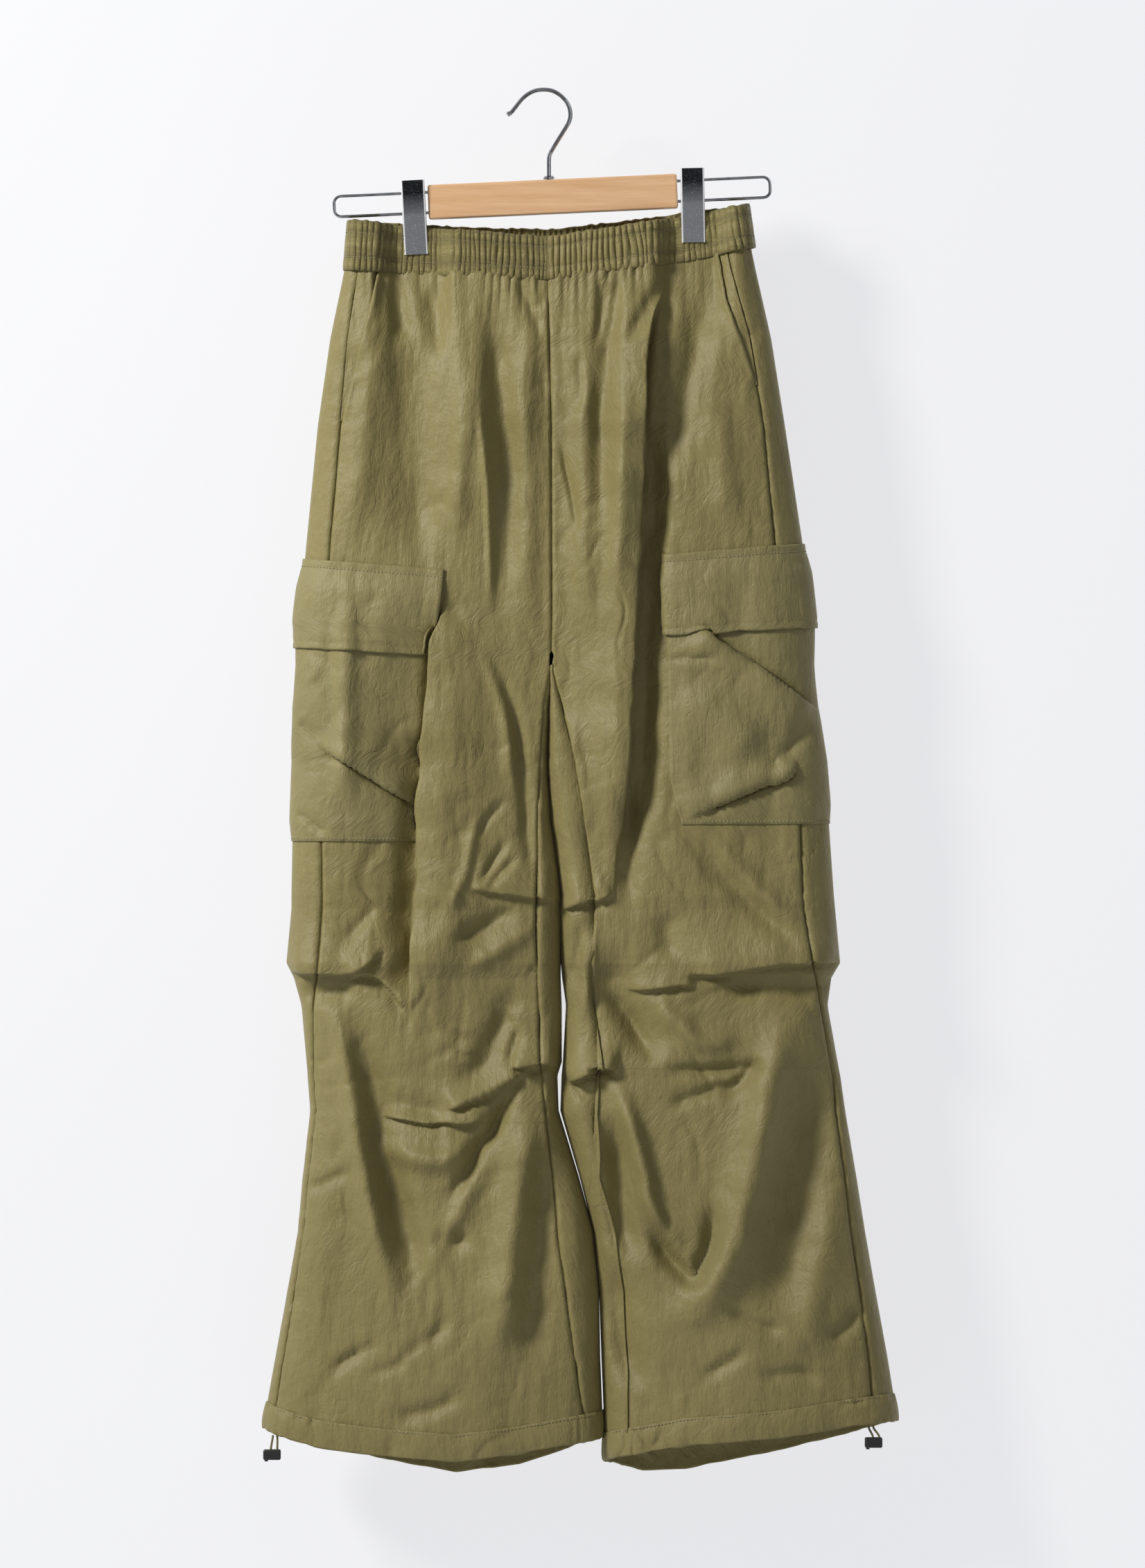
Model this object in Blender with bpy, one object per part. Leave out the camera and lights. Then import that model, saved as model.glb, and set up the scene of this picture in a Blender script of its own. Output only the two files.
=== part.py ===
"""Wide-legged cargo trousers of light olive cloth, hung flat from a wooden clip hanger.

Run with: blender --background --python part.py

The frame is +Z up, +X towards the wearer's left leg and -Y towards whoever faces the front.
The origin is where a rail carries the hook: the underside of the wire at the top of the hook.
Tables and named sizes are in millimetres from a point near the hook. The function placed()
moves them to the origin and turns them into Blender's metres.

Each leg is a lattice on one closed ring of cloth for each height. A ring place q runs from the
inner fold (0) over the front (1 to 2) to the outer fold (3), over the back (4 to 5) and round
the inner fold again (6 to 7). The panels, pockets, flaps and hems are cut from that lattice, so
that neighbours meet along the same line and a layer lies on the points of the panel below it.
"""

import math

import bmesh
import bpy
import numpy as np
from mathutils import Matrix, Vector

MM = 0.001
HOOK_TOP = (-2.75, 0.0, 1.0)
SEAM_GAP = 0.3
BAND_GAP = 0.6
PANEL_WALL = 1.2
BAND_WALL = 3.0
HEM_WALL = 2.2
POCKET_WALL = 1.8
FLAP_WALL = 1.6
LAYER_GAP = 0.4

CROTCH = -456.0
FLAP_TOP, FLAP_BEND, FLAP_BOTTOM, POCKET_BOTTOM = -372.0, -396.0, -443.0, -597.0
HEM_STITCH = -1048.0
HEM_DEEP = 22.0
LIP_FOOT = 4.0
SLANT_END = -266.0

# Heights of the lattice's rows, from the waist seam to the hem's stitching. The pairs that are
# close together carry the sewn knee tucks.
ROWS = [
    -143, -168, -196, -231, -266, -300, -336, FLAP_TOP, FLAP_BEND, -420, FLAP_BOTTOM, CROTCH,
    -490, -525, -560, POCKET_BOTTOM, -620, -640, -651, -676, -694, -706, -740, -773, -784, -812,
    -850, -890, -930, -970, -1010, HEM_STITCH,
]


class Table:
    """Rows of numbers with named columns. The first column is the height that the others follow."""

    def __init__(self, columns, rows):
        self.names = columns.split()
        self.values = np.array(sorted(rows), float)

    def at(self, name, height):
        column = self.values[:, self.names.index(name)]
        return np.interp(height, self.values[:, 0], column)


# outer, inner: the folds at the leg's two edges. depth: half of its depth at the folds.
# belly: how much more it swells halfway. inner_round, outer_round: reach of each rounded edge.
# seam_in: from the outer fold to the side seam. wrap: from the inner fold to the inseam.
LEG = {
    "right": Table(
        "height outer inner depth belly inner_round outer_round seam_in wrap",
        [
            (-100, -158, 0.0, 12, 2, 0, 16, 11, 0),
            (-143, -162, 0.0, 15, 2, 0, 26, 11, 0),
            (-196, -173, 1.5, 20, 3, 0, 36, 14, 0),
            (-266, -183, 3.0, 23, 4, 0, 42, 18, 0),
            (-359, -192, 3.5, 25, 4, 0, 44, 19, 0),
            (-424, -198, 3.5, 26, 3, 0, 44, 21, 0),
            (-455, -198, 3.0, 26, 3, 0, 44, 22, 0),
            (-456, -198, 2.2, 26, 3, 1, 44, 22, 1),
            (-490, -201, 0.0, 26, 4, 5, 42, 22, 4),
            (-534, -201, -1.5, 27, 5, 9, 42, 22, 5),
            (-582, -203, 1.0, 27, 6, 13, 42, 23, 10),
            (-640, -204, 9.0, 28, 6, 16, 42, 25, 19),
            (-651, -204, 8.5, 27, 5, 16, 42, 25, 19),
            (-694, -208, 7.0, 28, 5, 16, 42, 26, 16),
            (-706, -202, 7.0, 25, 5, 16, 36, 18, 16),
            (-728, -196, 8.0, 25, 6, 16, 34, 9, 16),
            (-773, -192, 9.0, 26, 6, 16, 34, 5, 16),
            (-784, -191, 5.0, 25, 6, 14, 34, 4, 10),
            (-812, -189, 4.5, 26, 7, 14, 34, 4, 8),
            (-865, -195, 20.0, 27, 8, 20, 36, 4, 17),
            (-909, -199, 31.0, 28, 9, 26, 38, 4, 25),
            (-955, -207, 35.5, 29, 9, 28, 40, 5, 22),
            (-1010, -217, 36.5, 30, 9, 28, 42, 6, 16),
            (-1060, -226, 38.5, 30, 9, 28, 42, 7, 11),
            (-1110, -230, 39.0, 30, 9, 28, 42, 7, 11),
        ],
    ),
    "left": Table(
        "height outer inner depth belly inner_round outer_round seam_in wrap",
        [
            (-100, 157, 0.0, 12, 2, 0, 16, 20, 0),
            (-143, 166, 0.0, 15, 2, 0, 26, 20, 0),
            (-196, 178, 1.5, 20, 3, 0, 36, 17, 0),
            (-266, 189, 3.0, 23, 4, 0, 42, 17, 0),
            (-359, 203, 3.5, 25, 4, 0, 44, 22, 0),
            (-424, 210, 3.5, 26, 3, 0, 44, 22, 0),
            (-455, 210, 3.0, 26, 3, 0, 44, 22, 0),
            (-456, 210, 3.8, 26, 3, 1, 44, 22, 1),
            (-490, 213, 2.2, 26, 4, 5, 42, 22, 10),
            (-534, 220, 1.5, 27, 5, 9, 42, 22, 20),
            (-582, 224, 4.0, 27, 6, 14, 42, 23, 25),
            (-640, 228, 13.0, 28, 6, 18, 42, 25, 25),
            (-651, 229, 11.5, 27, 5, 18, 42, 25, 26),
            (-694, 233, 14.0, 28, 5, 18, 42, 22, 23),
            (-706, 226, 15.0, 25, 5, 18, 36, 12, 22),
            (-728, 223, 18.0, 25, 6, 18, 34, 5, 20),
            (-773, 231, 14.5, 26, 6, 18, 34, 5, 30),
            (-784, 233, 14.0, 25, 6, 18, 34, 5, 28),
            (-812, 237, 14.5, 26, 7, 18, 34, 7, 26),
            (-865, 246, 30.5, 27, 8, 18, 36, 9, 13),
            (-909, 253, 42.5, 28, 9, 20, 38, 11, 13),
            (-955, 261, 46.5, 29, 9, 22, 40, 12, 17),
            (-1010, 271, 48.5, 30, 9, 24, 42, 15, 17),
            (-1060, 279, 50.5, 30, 9, 26, 42, 19, 16),
            (-1110, 281, 51.0, 30, 9, 26, 42, 19, 16),
        ],
    ),
}

# The long pleat that hangs down each thigh: where its crest runs and how far it stands out.
PLEAT = {
    "right": Table(
        "height crest rise",
        [
            (-143, -62, 0), (-231, -70, 1), (-336, -79, 4), (-374, -82, 7), (-443, -86, 9),
            (-534, -98, 9), (-605, -102, 8), (-700, -106, 6), (-787, -110, 3), (-850, -112, 0),
            (-1110, -118, 0),
        ],
    ),
    "left": Table(
        "height crest rise",
        [
            (-143, 97, 0), (-168, 90, 2), (-205, 78, 5), (-245, 73, 7), (-320, 72, 9),
            (-374, 68, 10), (-450, 63, 11), (-534, 59, 10), (-636, 55, 7), (-700, 62, 3),
            (-787, 72, 0), (-1110, 90, 0),
        ],
    ),
}
PLEAT_REACH = 52.0

# Front edge of each cargo pocket and of its flap, at heights from the flap's top to the bottom.
POCKET_EDGE = {
    "right": Table("height x", [(-143, -76), (-372, -89), (-443, -92), (-597, -108), (-1110, -122)]),
    "left": Table("height x", [(-143, 108), (-372, 91), (-443, 94), (-597, 108), (-1110, 125)]),
}
POCKET_BACK = 74.0

# Sewn tucks at the knee: the cloth above each swells over the cloth below, least far from the
# seam that holds it.
TUCKS = [
    {"leg": "right", "height": -645, "seam": -10, "reach": 60, "rise": 6, "run": 70},
    {"leg": "left", "height": -645, "seam": 38, "reach": 46, "rise": 7, "run": 70},
    {"leg": "right", "height": -778, "seam": -6, "reach": 52, "rise": 5, "run": 60},
    {"leg": "left", "height": -778, "seam": 44, "reach": 44, "rise": 5, "run": 60},
    {"leg": "right", "height": -700, "seam": -182, "reach": 66, "rise": 6, "run": 64},
    {"leg": "left", "height": -700, "seam": 212, "reach": 90, "rise": 6, "run": 64},
]

# Soft folds of the front and back: a trough (negative) or ridge between two places.
FOLDS = [
    # face, x_top, z_top, x_foot, z_foot, half_width, rise
    ("front", -129, -150, -150, -360, 20, -6),
    ("front", -92, -150, -84, -250, 16, -5),
    ("front", -48, -150, -36, -350, 16, -5),
    ("front", -66, -260, -74, -520, 20, 5),
    ("front", 46, -150, 44, -300, 16, -5),
    ("front", 128, -150, 98, -310, 20, -6),
    ("front", -150, -760, -120, -900, 26, 5),
    ("front", 150, -880, 190, -720, 26, 5),
    ("front", 95, -960, 62, -800, 24, -6),
    ("back", -100, -150, -112, -420, 22, -6),
    ("back", -40, -150, -52, -380, 20, 6),
    ("back", 46, -150, 58, -420, 20, 6),
    ("back", 110, -150, 124, -440, 22, -6),
    ("back", -70, -680, -120, -780, 28, -6),
    ("back", 96, -690, 150, -800, 28, -6),
    ("back", -60, -860, -40, -1040, 26, 6),
    ("back", 140, -860, 170, -1040, 26, 6),
]

# Waist seam, and the band's top edge at the front and back, from one side to the other.
WAIST = Table(
    "x seam top_front top_back",
    [(-170, -140, -101, -101), (-106, -144, -107, -105), (0, -149, -116, -108),
     (116, -133, -98, -95), (170, -121, -87, -87)],
)
BAND_HALF = {"right": -159.0, "left": 160.0}
BAND_DEPTH, BAND_ROUND, PINCHED = 15.0, 14.0, 1.95
PINCH_FLAT, PINCH_REACH, PINCH_END = 15.0, 34.0, -225.0

# Hem edge at the front and back of each leg, as a height at a place across the leg.
HEM = {
    "right": Table("x front back", [
        (-225, -1064, -1066), (-217, -1068, -1070), (-184, -1078, -1078), (-137, -1084, -1092),
        (-74, -1089, -1104), (-23, -1083, -1097), (15, -1076, -1084), (40, -1072, -1074),
    ]),
    "left": Table("x front back", [
        (45, -1093, -1096), (60, -1086, -1102), (111, -1076, -1101), (187, -1070, -1086),
        (244, -1061, -1071), (278, -1058, -1060),
    ]),
}
HEM_BEND_TOP = -900.0

CLIPS = {"right": -105.0, "left": 116.0}
SIGN = {"right": -1.0, "left": 1.0}


def placed(point):
    """A table point in Blender's metres, measured from the origin."""
    return (Vector(point) - Vector(HOOK_TOP)) * MM


def smooth_step(value):
    t = np.clip(value, 0.0, 1.0)
    return t * t * (3.0 - 2.0 * t)


def pinch(x, height):
    """Share of its depth that the cloth keeps near the clips, which close the band."""
    strength = smooth_step((height - PINCH_END) / (-128.0 - PINCH_END))
    kept = np.ones_like(x)
    for centre in CLIPS.values():
        away = smooth_step((np.abs(x - centre) - PINCH_FLAT) / (PINCH_REACH - PINCH_FLAT))
        kept = np.minimum(kept, away)
    least = PINCHED / BAND_DEPTH
    return 1.0 - strength * (1.0 - (least + (1.0 - least) * kept))


def ring_place(leg, q, height):
    """Distance out from the inner fold, and depth, of ring place q, before any fold."""
    table = LEG[leg]
    wide = np.abs(table.at("outer", height) - table.at("inner", height))
    near, far = table.at("inner_round", height), table.at("outer_round", height)
    depth, belly = table.at("depth", height), table.at("belly", height)
    flat = wide - near - far
    turn = (q % 1.0) * math.pi / 2
    across = q % 1.0
    swell = depth + belly * np.sin(across * math.pi)
    part = np.clip(np.floor(q), 0, 7).astype(int) % 6
    out = np.choose(
        part,
        [
            near * (1 - np.cos(turn)),
            near + across * flat,
            wide - far + far * np.sin(turn),
            wide - far + far * np.cos(turn),
            wide - far - across * flat,
            near * (1 - np.sin(turn)),
        ],
    )
    y = np.choose(
        part,
        [-depth * np.sin(turn), -swell, -depth * np.cos(turn), depth * np.sin(turn), swell,
         depth * np.cos(turn)],
    )
    return out, y


def front_place(leg, out, height):
    """Ring place of a point of the front that lies this far out from the inner fold."""
    table = LEG[leg]
    wide = abs(float(table.at("outer", height)) - float(table.at("inner", height)))
    near, far = float(table.at("inner_round", height)), float(table.at("outer_round", height))
    if out < near:
        return math.acos(max(-1.0, 1 - out / near)) / (math.pi / 2)
    if out < wide - far:
        return 1 + (out - near) / (wide - near - far)
    return 2 + math.asin(min(1.0, (out - wide + far) / far)) / (math.pi / 2)


def back_place(leg, out, height):
    table = LEG[leg]
    wide = abs(float(table.at("outer", height)) - float(table.at("inner", height)))
    near, far = float(table.at("inner_round", height)), float(table.at("outer_round", height))
    if out > wide - far:
        return 3 + math.acos(min(1.0, (out - wide + far) / far)) / (math.pi / 2)
    return 4 + (wide - far - out) / (wide - near - far)


def fold_rise(x, height, face):
    """Sum of the soft folds of one face at a place."""
    total = np.zeros_like(x)
    for on, x_top, z_top, x_foot, z_foot, half, rise in FOLDS:
        if on != face:
            continue
        run = np.array([x_foot - x_top, z_foot - z_top], float)
        along = ((x - x_top) * run[0] + (height - z_top) * run[1]) / (run @ run)
        near = np.clip(along, 0, 1)
        away = np.hypot(x - x_top - near * run[0], height - z_top - near * run[1]) / half
        total += rise * np.exp(-away * away)
    return total


def pleat_rise(leg, x, height):
    """The thigh pleat: a slow rise towards its crest and a drop just beyond it."""
    crest, rise = PLEAT[leg].at("crest", height), PLEAT[leg].at("rise", height)
    beyond = (x - crest) * SIGN[leg]
    climb = smooth_step(1 + beyond / PLEAT_REACH) * (beyond <= 0)
    drop = (1 - smooth_step(beyond / LIP_FOOT)) * (beyond > 0)
    return rise * (climb + drop)


def tuck_rise(leg, x, height):
    total = np.zeros_like(x)
    for tuck in TUCKS:
        if tuck["leg"] != leg:
            continue
        above = height - tuck["height"]
        swell = np.where(above > 0, 1 - above / tuck["run"], 1 + above / 6.0)
        near = np.exp(-(((x - tuck["seam"]) / tuck["reach"]) ** 2))
        total += tuck["rise"] * np.clip(swell, 0, 1) * near
    return total


def cloth_point(leg, q, height):
    """Points of the leg's middle surface, in millimetres."""
    table, sign = LEG[leg], SIGN[leg]
    out, y = ring_place(leg, q, height)
    x = table.at("inner", height) + sign * out
    y = y * pinch(x, height)
    faces_front = np.clip(-y / (0.6 * table.at("depth", height)), 0, 1)
    faces_back = np.clip(y / (0.6 * table.at("depth", height)), 0, 1)
    fade = smooth_step((-height - 150) / 40)
    seam_fade = np.where(height > CROTCH, smooth_step(np.abs(x - 3) / 14), 1.0)
    front = fold_rise(x, height, "front") + pleat_rise(leg, x, height)
    y = y - faces_front * fade * seam_fade * (front + tuck_rise(leg, x, height))
    y = y + faces_back * fade * seam_fade * (
        fold_rise(x, height, "back") + 0.6 * tuck_rise(leg, x, height)
    )
    return np.stack([x, y, height + 0 * x], axis=-1)


def station_places(leg, height):
    """Ring places of the lines that the lattice's columns start from, at one height."""
    table, sign = LEG[leg], SIGN[leg]
    inner = float(table.at("inner", height))
    wide = abs(float(table.at("outer", height)) - inner)
    crest = (float(PLEAT[leg].at("crest", height)) - inner) * sign
    edge = (float(POCKET_EDGE[leg].at("x", height)) - inner) * sign
    start = 1.0 if height >= CROTCH else front_place(leg, float(table.at("wrap", height)), height)
    return [
        start,
        front_place(leg, crest, height),
        front_place(leg, crest + LIP_FOOT, height),
        front_place(leg, max(edge, crest + LIP_FOOT + 2), height),
        front_place(leg, wide - float(table.at("seam_in", height)), height),
        3.0,
        4.0,
        back_place(leg, wide - POCKET_BACK, height),
        5.0,
        6.0 + start,
    ]


# Columns between one station and the next.
COUNTS = {"right": [4, 1, 1, 3, 2, 2, 2, 4, 4], "left": [3, 1, 2, 3, 2, 2, 2, 4, 4]}
STATIONS = ["inseam", "crest", "foot", "pocket_front", "side_seam", "fold", "back_turn",
            "pocket_back", "centre_back", "inseam_again"]


def column_of(leg, station):
    return sum(COUNTS[leg][: STATIONS.index(station)])


def hem_edge(leg, q, x):
    """Height of the hem's edge at a place of the ring: the back hangs lower than the front."""
    back = smooth_step((np.abs((q % 6.0) - 0.0) - 2.4) / 1.2) * (q < 6.0)
    back = np.where(q > 5.0, np.clip(1 - (q - 5.0) / 1.2, 0, 1), back)
    front_edge, back_edge = HEM[leg].at("front", x), HEM[leg].at("back", x)
    return front_edge + back * (back_edge - front_edge)


def row_height(leg, q, x, nominal):
    """Height of a lattice row at a place: level rows bend to the waist seam and to the hem,
    and those at the pocket drop a little towards the middle, as the flap does."""
    to_waist = smooth_step((nominal + 240) / 97.0)
    to_hem = smooth_step((HEM_BEND_TOP - nominal) / (HEM_BEND_TOP - HEM_STITCH))
    waist_shift = WAIST.at("seam", x) - ROWS[0]
    hem_shift = hem_edge(leg, q, x) + HEM_DEEP - HEM_STITCH
    edge = LEG[leg].at("outer", nominal)
    tilt = 0.085 * np.interp(nominal, [-600, -450, -372, -300, -200], [0, 0.6, 1, 0.8, 0])
    run = np.clip(110 - np.abs(np.abs(x - edge) - 110), 0, 110)
    return nominal + to_waist * waist_shift + to_hem * hem_shift - tilt * run


def leg_lattice(leg):
    """Points and outward normals of the whole leg, rows by columns, with the ring places."""
    places = []
    for height in ROWS:
        stations = station_places(leg, height)
        line = []
        for count, a, b in zip(COUNTS[leg], stations[:-1], stations[1:]):
            line += [a + (b - a) * k / count for k in range(count)]
        places.append(line + [stations[-1]])
    q = np.array(places)
    nominal = np.repeat(np.array(ROWS, float)[:, None], q.shape[1], axis=1)
    height = nominal
    for _ in range(4):
        x = cloth_point(leg, q, height)[..., 0]
        height = row_height(leg, q, x, nominal)
    points = cloth_point(leg, q, height)
    return points, lattice_normals(leg, points), q


def lattice_normals(leg, points):
    """Outward normals, shared by panels that meet on the lattice."""
    side = np.gradient(points, axis=1)
    down = np.gradient(points, axis=0)
    closed = np.array(ROWS) < CROTCH
    round_it = (points[closed, 1] - points[closed, -2]) / 2
    side[closed, 0] = round_it
    side[closed, -1] = round_it
    normal = np.cross(down, side) * SIGN[leg]
    normal /= np.linalg.norm(normal, axis=-1, keepdims=True)
    open_rows = ~closed
    centre = column_of(leg, "centre_back")
    for column in (0, centre):
        normal[open_rows, column, 0] = 0
        normal[open_rows, column] /= np.linalg.norm(normal[open_rows, column], axis=-1)[:, None]
    crotch = ROWS.index(CROTCH)
    normal[crotch, centre + 1:] = (-SIGN[leg], 0, 0)
    return normal


def trimmed(points, cut_start=SEAM_GAP / 2, cut_end=SEAM_GAP / 2):
    """The sheet with its first and last columns drawn back from the seams."""
    made = points.copy()
    for column, beside, cut in ((0, 1, cut_start), (-1, -2, cut_end)):
        towards = points[:, beside] - points[:, column]
        towards /= np.linalg.norm(towards, axis=-1, keepdims=True)
        made[:, column] += towards * np.reshape(cut, (-1, 1))
    return made


def material(name, color, roughness, metallic=0.0):
    made = bpy.data.materials.new(name)
    made.use_nodes = True
    shader = made.node_tree.nodes["Principled BSDF"]
    shader.inputs["Base Color"].default_value = (*color, 1.0)
    shader.inputs["Roughness"].default_value = roughness
    shader.inputs["Metallic"].default_value = metallic
    return made


def add_object(name, mesh, finish, smooth=False):
    made = bpy.data.objects.new(name, mesh)
    bpy.context.scene.collection.objects.link(made)
    made.data.materials.append(finish)
    if smooth:
        mesh.shade_smooth()
        mesh.set_sharp_from_angle(angle=math.radians(40))
    return made


def shell(name, points, normals, inner, outer, finish, ring=False, missing=None):
    """A closed wall of cloth on a sheet of points, between two distances along its normals.

    inner and outer are numbers or arrays over the sheet. missing marks the sheet's cells, rows
    by columns, that aren't cloth. A ring joins its last column to its first.
    """
    rows, columns = points.shape[:2]
    last = columns if ring else columns - 1
    inner, outer = (np.broadcast_to(v, (rows, columns)) for v in (inner, outer))
    outside = points + normals * outer[..., None]
    inside = points + normals * inner[..., None]
    bm = bmesh.new()
    site = bm.verts.layers.int.new("site")
    grid = [[bm.verts.new(placed(outside[j, i])) for i in range(columns)] for j in range(rows)]
    for j in range(rows):
        for i in range(columns):
            grid[j][i][site] = j * columns + i
    for j in range(rows - 1):
        for i in range(last):
            if missing is not None and missing[j, i]:
                continue
            right = (i + 1) % columns
            bm.faces.new((grid[j][i], grid[j + 1][i], grid[j + 1][right], grid[j][right]))
    bmesh.ops.delete(bm, geom=[v for v in bm.verts if not v.link_faces], context="VERTS")
    made = bmesh.ops.extrude_face_region(bm, geom=bm.faces[:])
    for part in made["geom"]:
        if isinstance(part, bmesh.types.BMVert):
            row, column = divmod(part[site], columns)
            part.co = placed(inside[row, column])
    bmesh.ops.recalc_face_normals(bm, faces=bm.faces)
    bmesh.ops.triangulate(bm, faces=bm.faces)
    if bm.calc_volume(signed=True) < 0:
        bmesh.ops.reverse_faces(bm, faces=bm.faces)
    mesh = bpy.data.meshes.new(name)
    bm.to_mesh(mesh)
    bm.free()
    return add_object(name, mesh, finish, smooth=True)


def front_panel(leg, lattice, finish):
    """From the centre front or inseam to the side seam. Its upper outer corner is cut away on a
    slant, which leaves the mouth of the hand pocket."""
    points, normals, _ = lattice
    seam = column_of(leg, "side_seam")
    sheet, normal = points[:, : seam + 1].copy(), normals[:, : seam + 1].copy()
    slant = slant_share(leg)[:, None]
    sheet[:, -1] += (sheet[:, -2] - sheet[:, -1]) * slant
    normal[:, -1] += (normal[:, -2] - normal[:, -1]) * slant
    shell(f"front_panel_{leg}", trimmed(sheet), normal, -PANEL_WALL / 2, PANEL_WALL / 2, finish)


def slant_share(leg):
    """How much of the last column's width the slant pocket takes, from the waist down."""
    widest = 0.62 if leg == "right" else 0.5
    return widest * np.clip((np.array(ROWS) - SLANT_END) / (ROWS[0] - SLANT_END), 0, 1)


def pocket_facing(leg, lattice, finish):
    """The cloth that shows in the mouth of the hand pocket, behind the front's slanted edge."""
    points, normals, _ = lattice
    seam = column_of(leg, "side_seam")
    rows = slice(0, ROWS.index(-231) + 1)
    slant = slant_share(leg)[rows, None]
    edge, beside = points[rows, seam], points[rows, seam - 1]
    sheet = np.stack([edge + (beside - edge) * slant, edge], axis=1)
    edge, beside = normals[rows, seam], normals[rows, seam - 1]
    normal = np.stack([edge + (beside - edge) * slant, edge], axis=1)
    shell(f"pocket_facing_{leg}", trimmed(sheet), normal, -PANEL_WALL / 2, PANEL_WALL / 2, finish)


def back_panel(leg, lattice, finish):
    """From the side seam round the outer fold and the back, and below the crotch round the
    inner fold to the inseam, which shows at the front."""
    points, normals, _ = lattice
    seam, centre = column_of(leg, "side_seam"), column_of(leg, "centre_back")
    sheet, normal = points[:, seam:].copy(), normals[:, seam:].copy()
    heights = np.array(ROWS)
    crotch = ROWS.index(CROTCH)
    end_cut = np.where(heights == CROTCH, 1.1, np.where(heights > -500, 0.6, SEAM_GAP / 2))
    body = trimmed(sheet, cut_end=end_cut)
    back_edge = centre - seam
    drawn = sheet[: crotch, back_edge - 1] - sheet[: crotch, back_edge]
    drawn /= np.linalg.norm(drawn, axis=-1, keepdims=True)
    body[: crotch, back_edge] += drawn * SEAM_GAP / 2
    missing = np.zeros((len(ROWS) - 1, sheet.shape[1] - 1), bool)
    missing[:crotch, back_edge:] = True
    wall = PANEL_WALL / 2
    shell(f"back_panel_{leg}", body, normal, -wall, wall, finish, missing=missing)


def cargo_pocket(leg, lattice, finish):
    """The bag over the side seam, and the flap that hangs over its mouth."""
    points, normals, _ = lattice
    first, last = column_of(leg, "pocket_front"), column_of(leg, "pocket_back")
    columns = slice(first, last + 1)
    rows = slice(ROWS.index(FLAP_BEND), ROWS.index(POCKET_BOTTOM) + 1)
    bag_in = PANEL_WALL / 2 + LAYER_GAP
    bag_out = bag_in + POCKET_WALL
    shell(f"cargo_pocket_{leg}", points[rows, columns], normals[rows, columns], bag_in, bag_out, finish)
    rows = slice(ROWS.index(FLAP_TOP), ROWS.index(FLAP_BOTTOM) + 1)
    sheet, normal = points[rows, columns], normals[rows, columns]
    lift = np.full(sheet.shape[:2], bag_out + LAYER_GAP)
    lift[0] = bag_in
    shell(f"cargo_flap_{leg}", sheet, normal, lift, lift + FLAP_WALL, finish)


def hem_casing(leg, lattice, finish):
    """The turned-up hem that the drawcord runs in: a ring of doubled cloth below the panels."""
    points, normals, q = lattice
    top, normal, places = points[-1, :-1], normals[-1, :-1], q[-1, :-1]
    rows = []
    for share in (0.0, 0.5, 1.0):
        row = top.copy()
        edge = hem_edge(leg, places, top[:, 0])
        row[:, 2] = top[:, 2] - SEAM_GAP + (edge - top[:, 2] + SEAM_GAP) * share
        grown = 1 + 0.008 * share
        middle = (top[:, 0].min() + top[:, 0].max()) / 2
        row[:, 0] = middle + (top[:, 0] - middle) * grown
        rows.append(row)
    sheet = np.array(rows)
    normal = np.repeat(normal[None], len(rows), axis=0)
    shell(f"hem_casing_{leg}", sheet, normal, PANEL_WALL / 2 - HEM_WALL, PANEL_WALL / 2, finish,
          ring=True)


def waistband(finish):
    """One elasticated band, open at its top between the clips, which pinch it shut."""
    per_side = 24
    across = np.concatenate([
        np.linspace(0, BAND_HALF["left"], per_side, endpoint=False),
        BAND_HALF["left"] - np.linspace(0, BAND_HALF["left"], per_side, endpoint=False),
        np.linspace(0, BAND_HALF["right"], per_side, endpoint=False),
        BAND_HALF["right"] - np.linspace(0, BAND_HALF["right"], per_side, endpoint=False),
    ])
    face = np.repeat([-1.0, 1.0, 1.0, -1.0], per_side)
    rows = []
    for share in (0.0, 0.35, 0.7, 1.0):
        top_half = np.where(across < 0, -BAND_HALF["right"], BAND_HALF["left"])
        half = top_half + (1 - share) * np.where(across < 0, 3.0, 5.0)
        x = across * half / top_half
        seam = WAIST.at("seam", x) + BAND_GAP
        top = np.where(face < 0, WAIST.at("top_front", x), WAIST.at("top_back", x))
        height = seam + (top - seam) * share
        to_edge = np.clip((half - np.abs(x)) / BAND_ROUND, 0, 1)
        depth = BAND_DEPTH * np.sqrt(1 - (1 - to_edge) ** 2) * pinch(x, np.full_like(x, -120.0))
        rows.append(np.stack([x, face * depth, height], axis=-1))
    sheet = np.array(rows)
    side = np.roll(sheet, -1, axis=1) - np.roll(sheet, 1, axis=1)
    normal = np.cross(np.gradient(sheet, axis=0), side)
    normal[..., 2] = 0
    normal /= np.linalg.norm(normal, axis=-1, keepdims=True)
    if normal[0, 0, 1] > 0:
        normal = -normal
    shell("waistband", sheet, normal, -BAND_WALL / 2, BAND_WALL / 2, finish, ring=True)


# The hanger. Its bar and the two wire loops lie level in a frame of their own, which then
# tips by TILT about the bar's middle, as the weight of the cloth leaves it.
TILT = math.radians(2.6)
BAR_MIDDLE = (4.1, 0.0, -82.9)
BAR = (199.0, 10.0, 27.6)
WIRE = 1.25
WIRE_LIFT = 8.2
WIRE_ENDS = {"right": -174.5, "left": 173.5}
WIRE_INSET = 10.0
BORE_CLEAR = 0.3
HOOK_WIRE = 1.75
HOOK_BALL = 2.3
HOOK_ENTRY = 12.0
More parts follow.
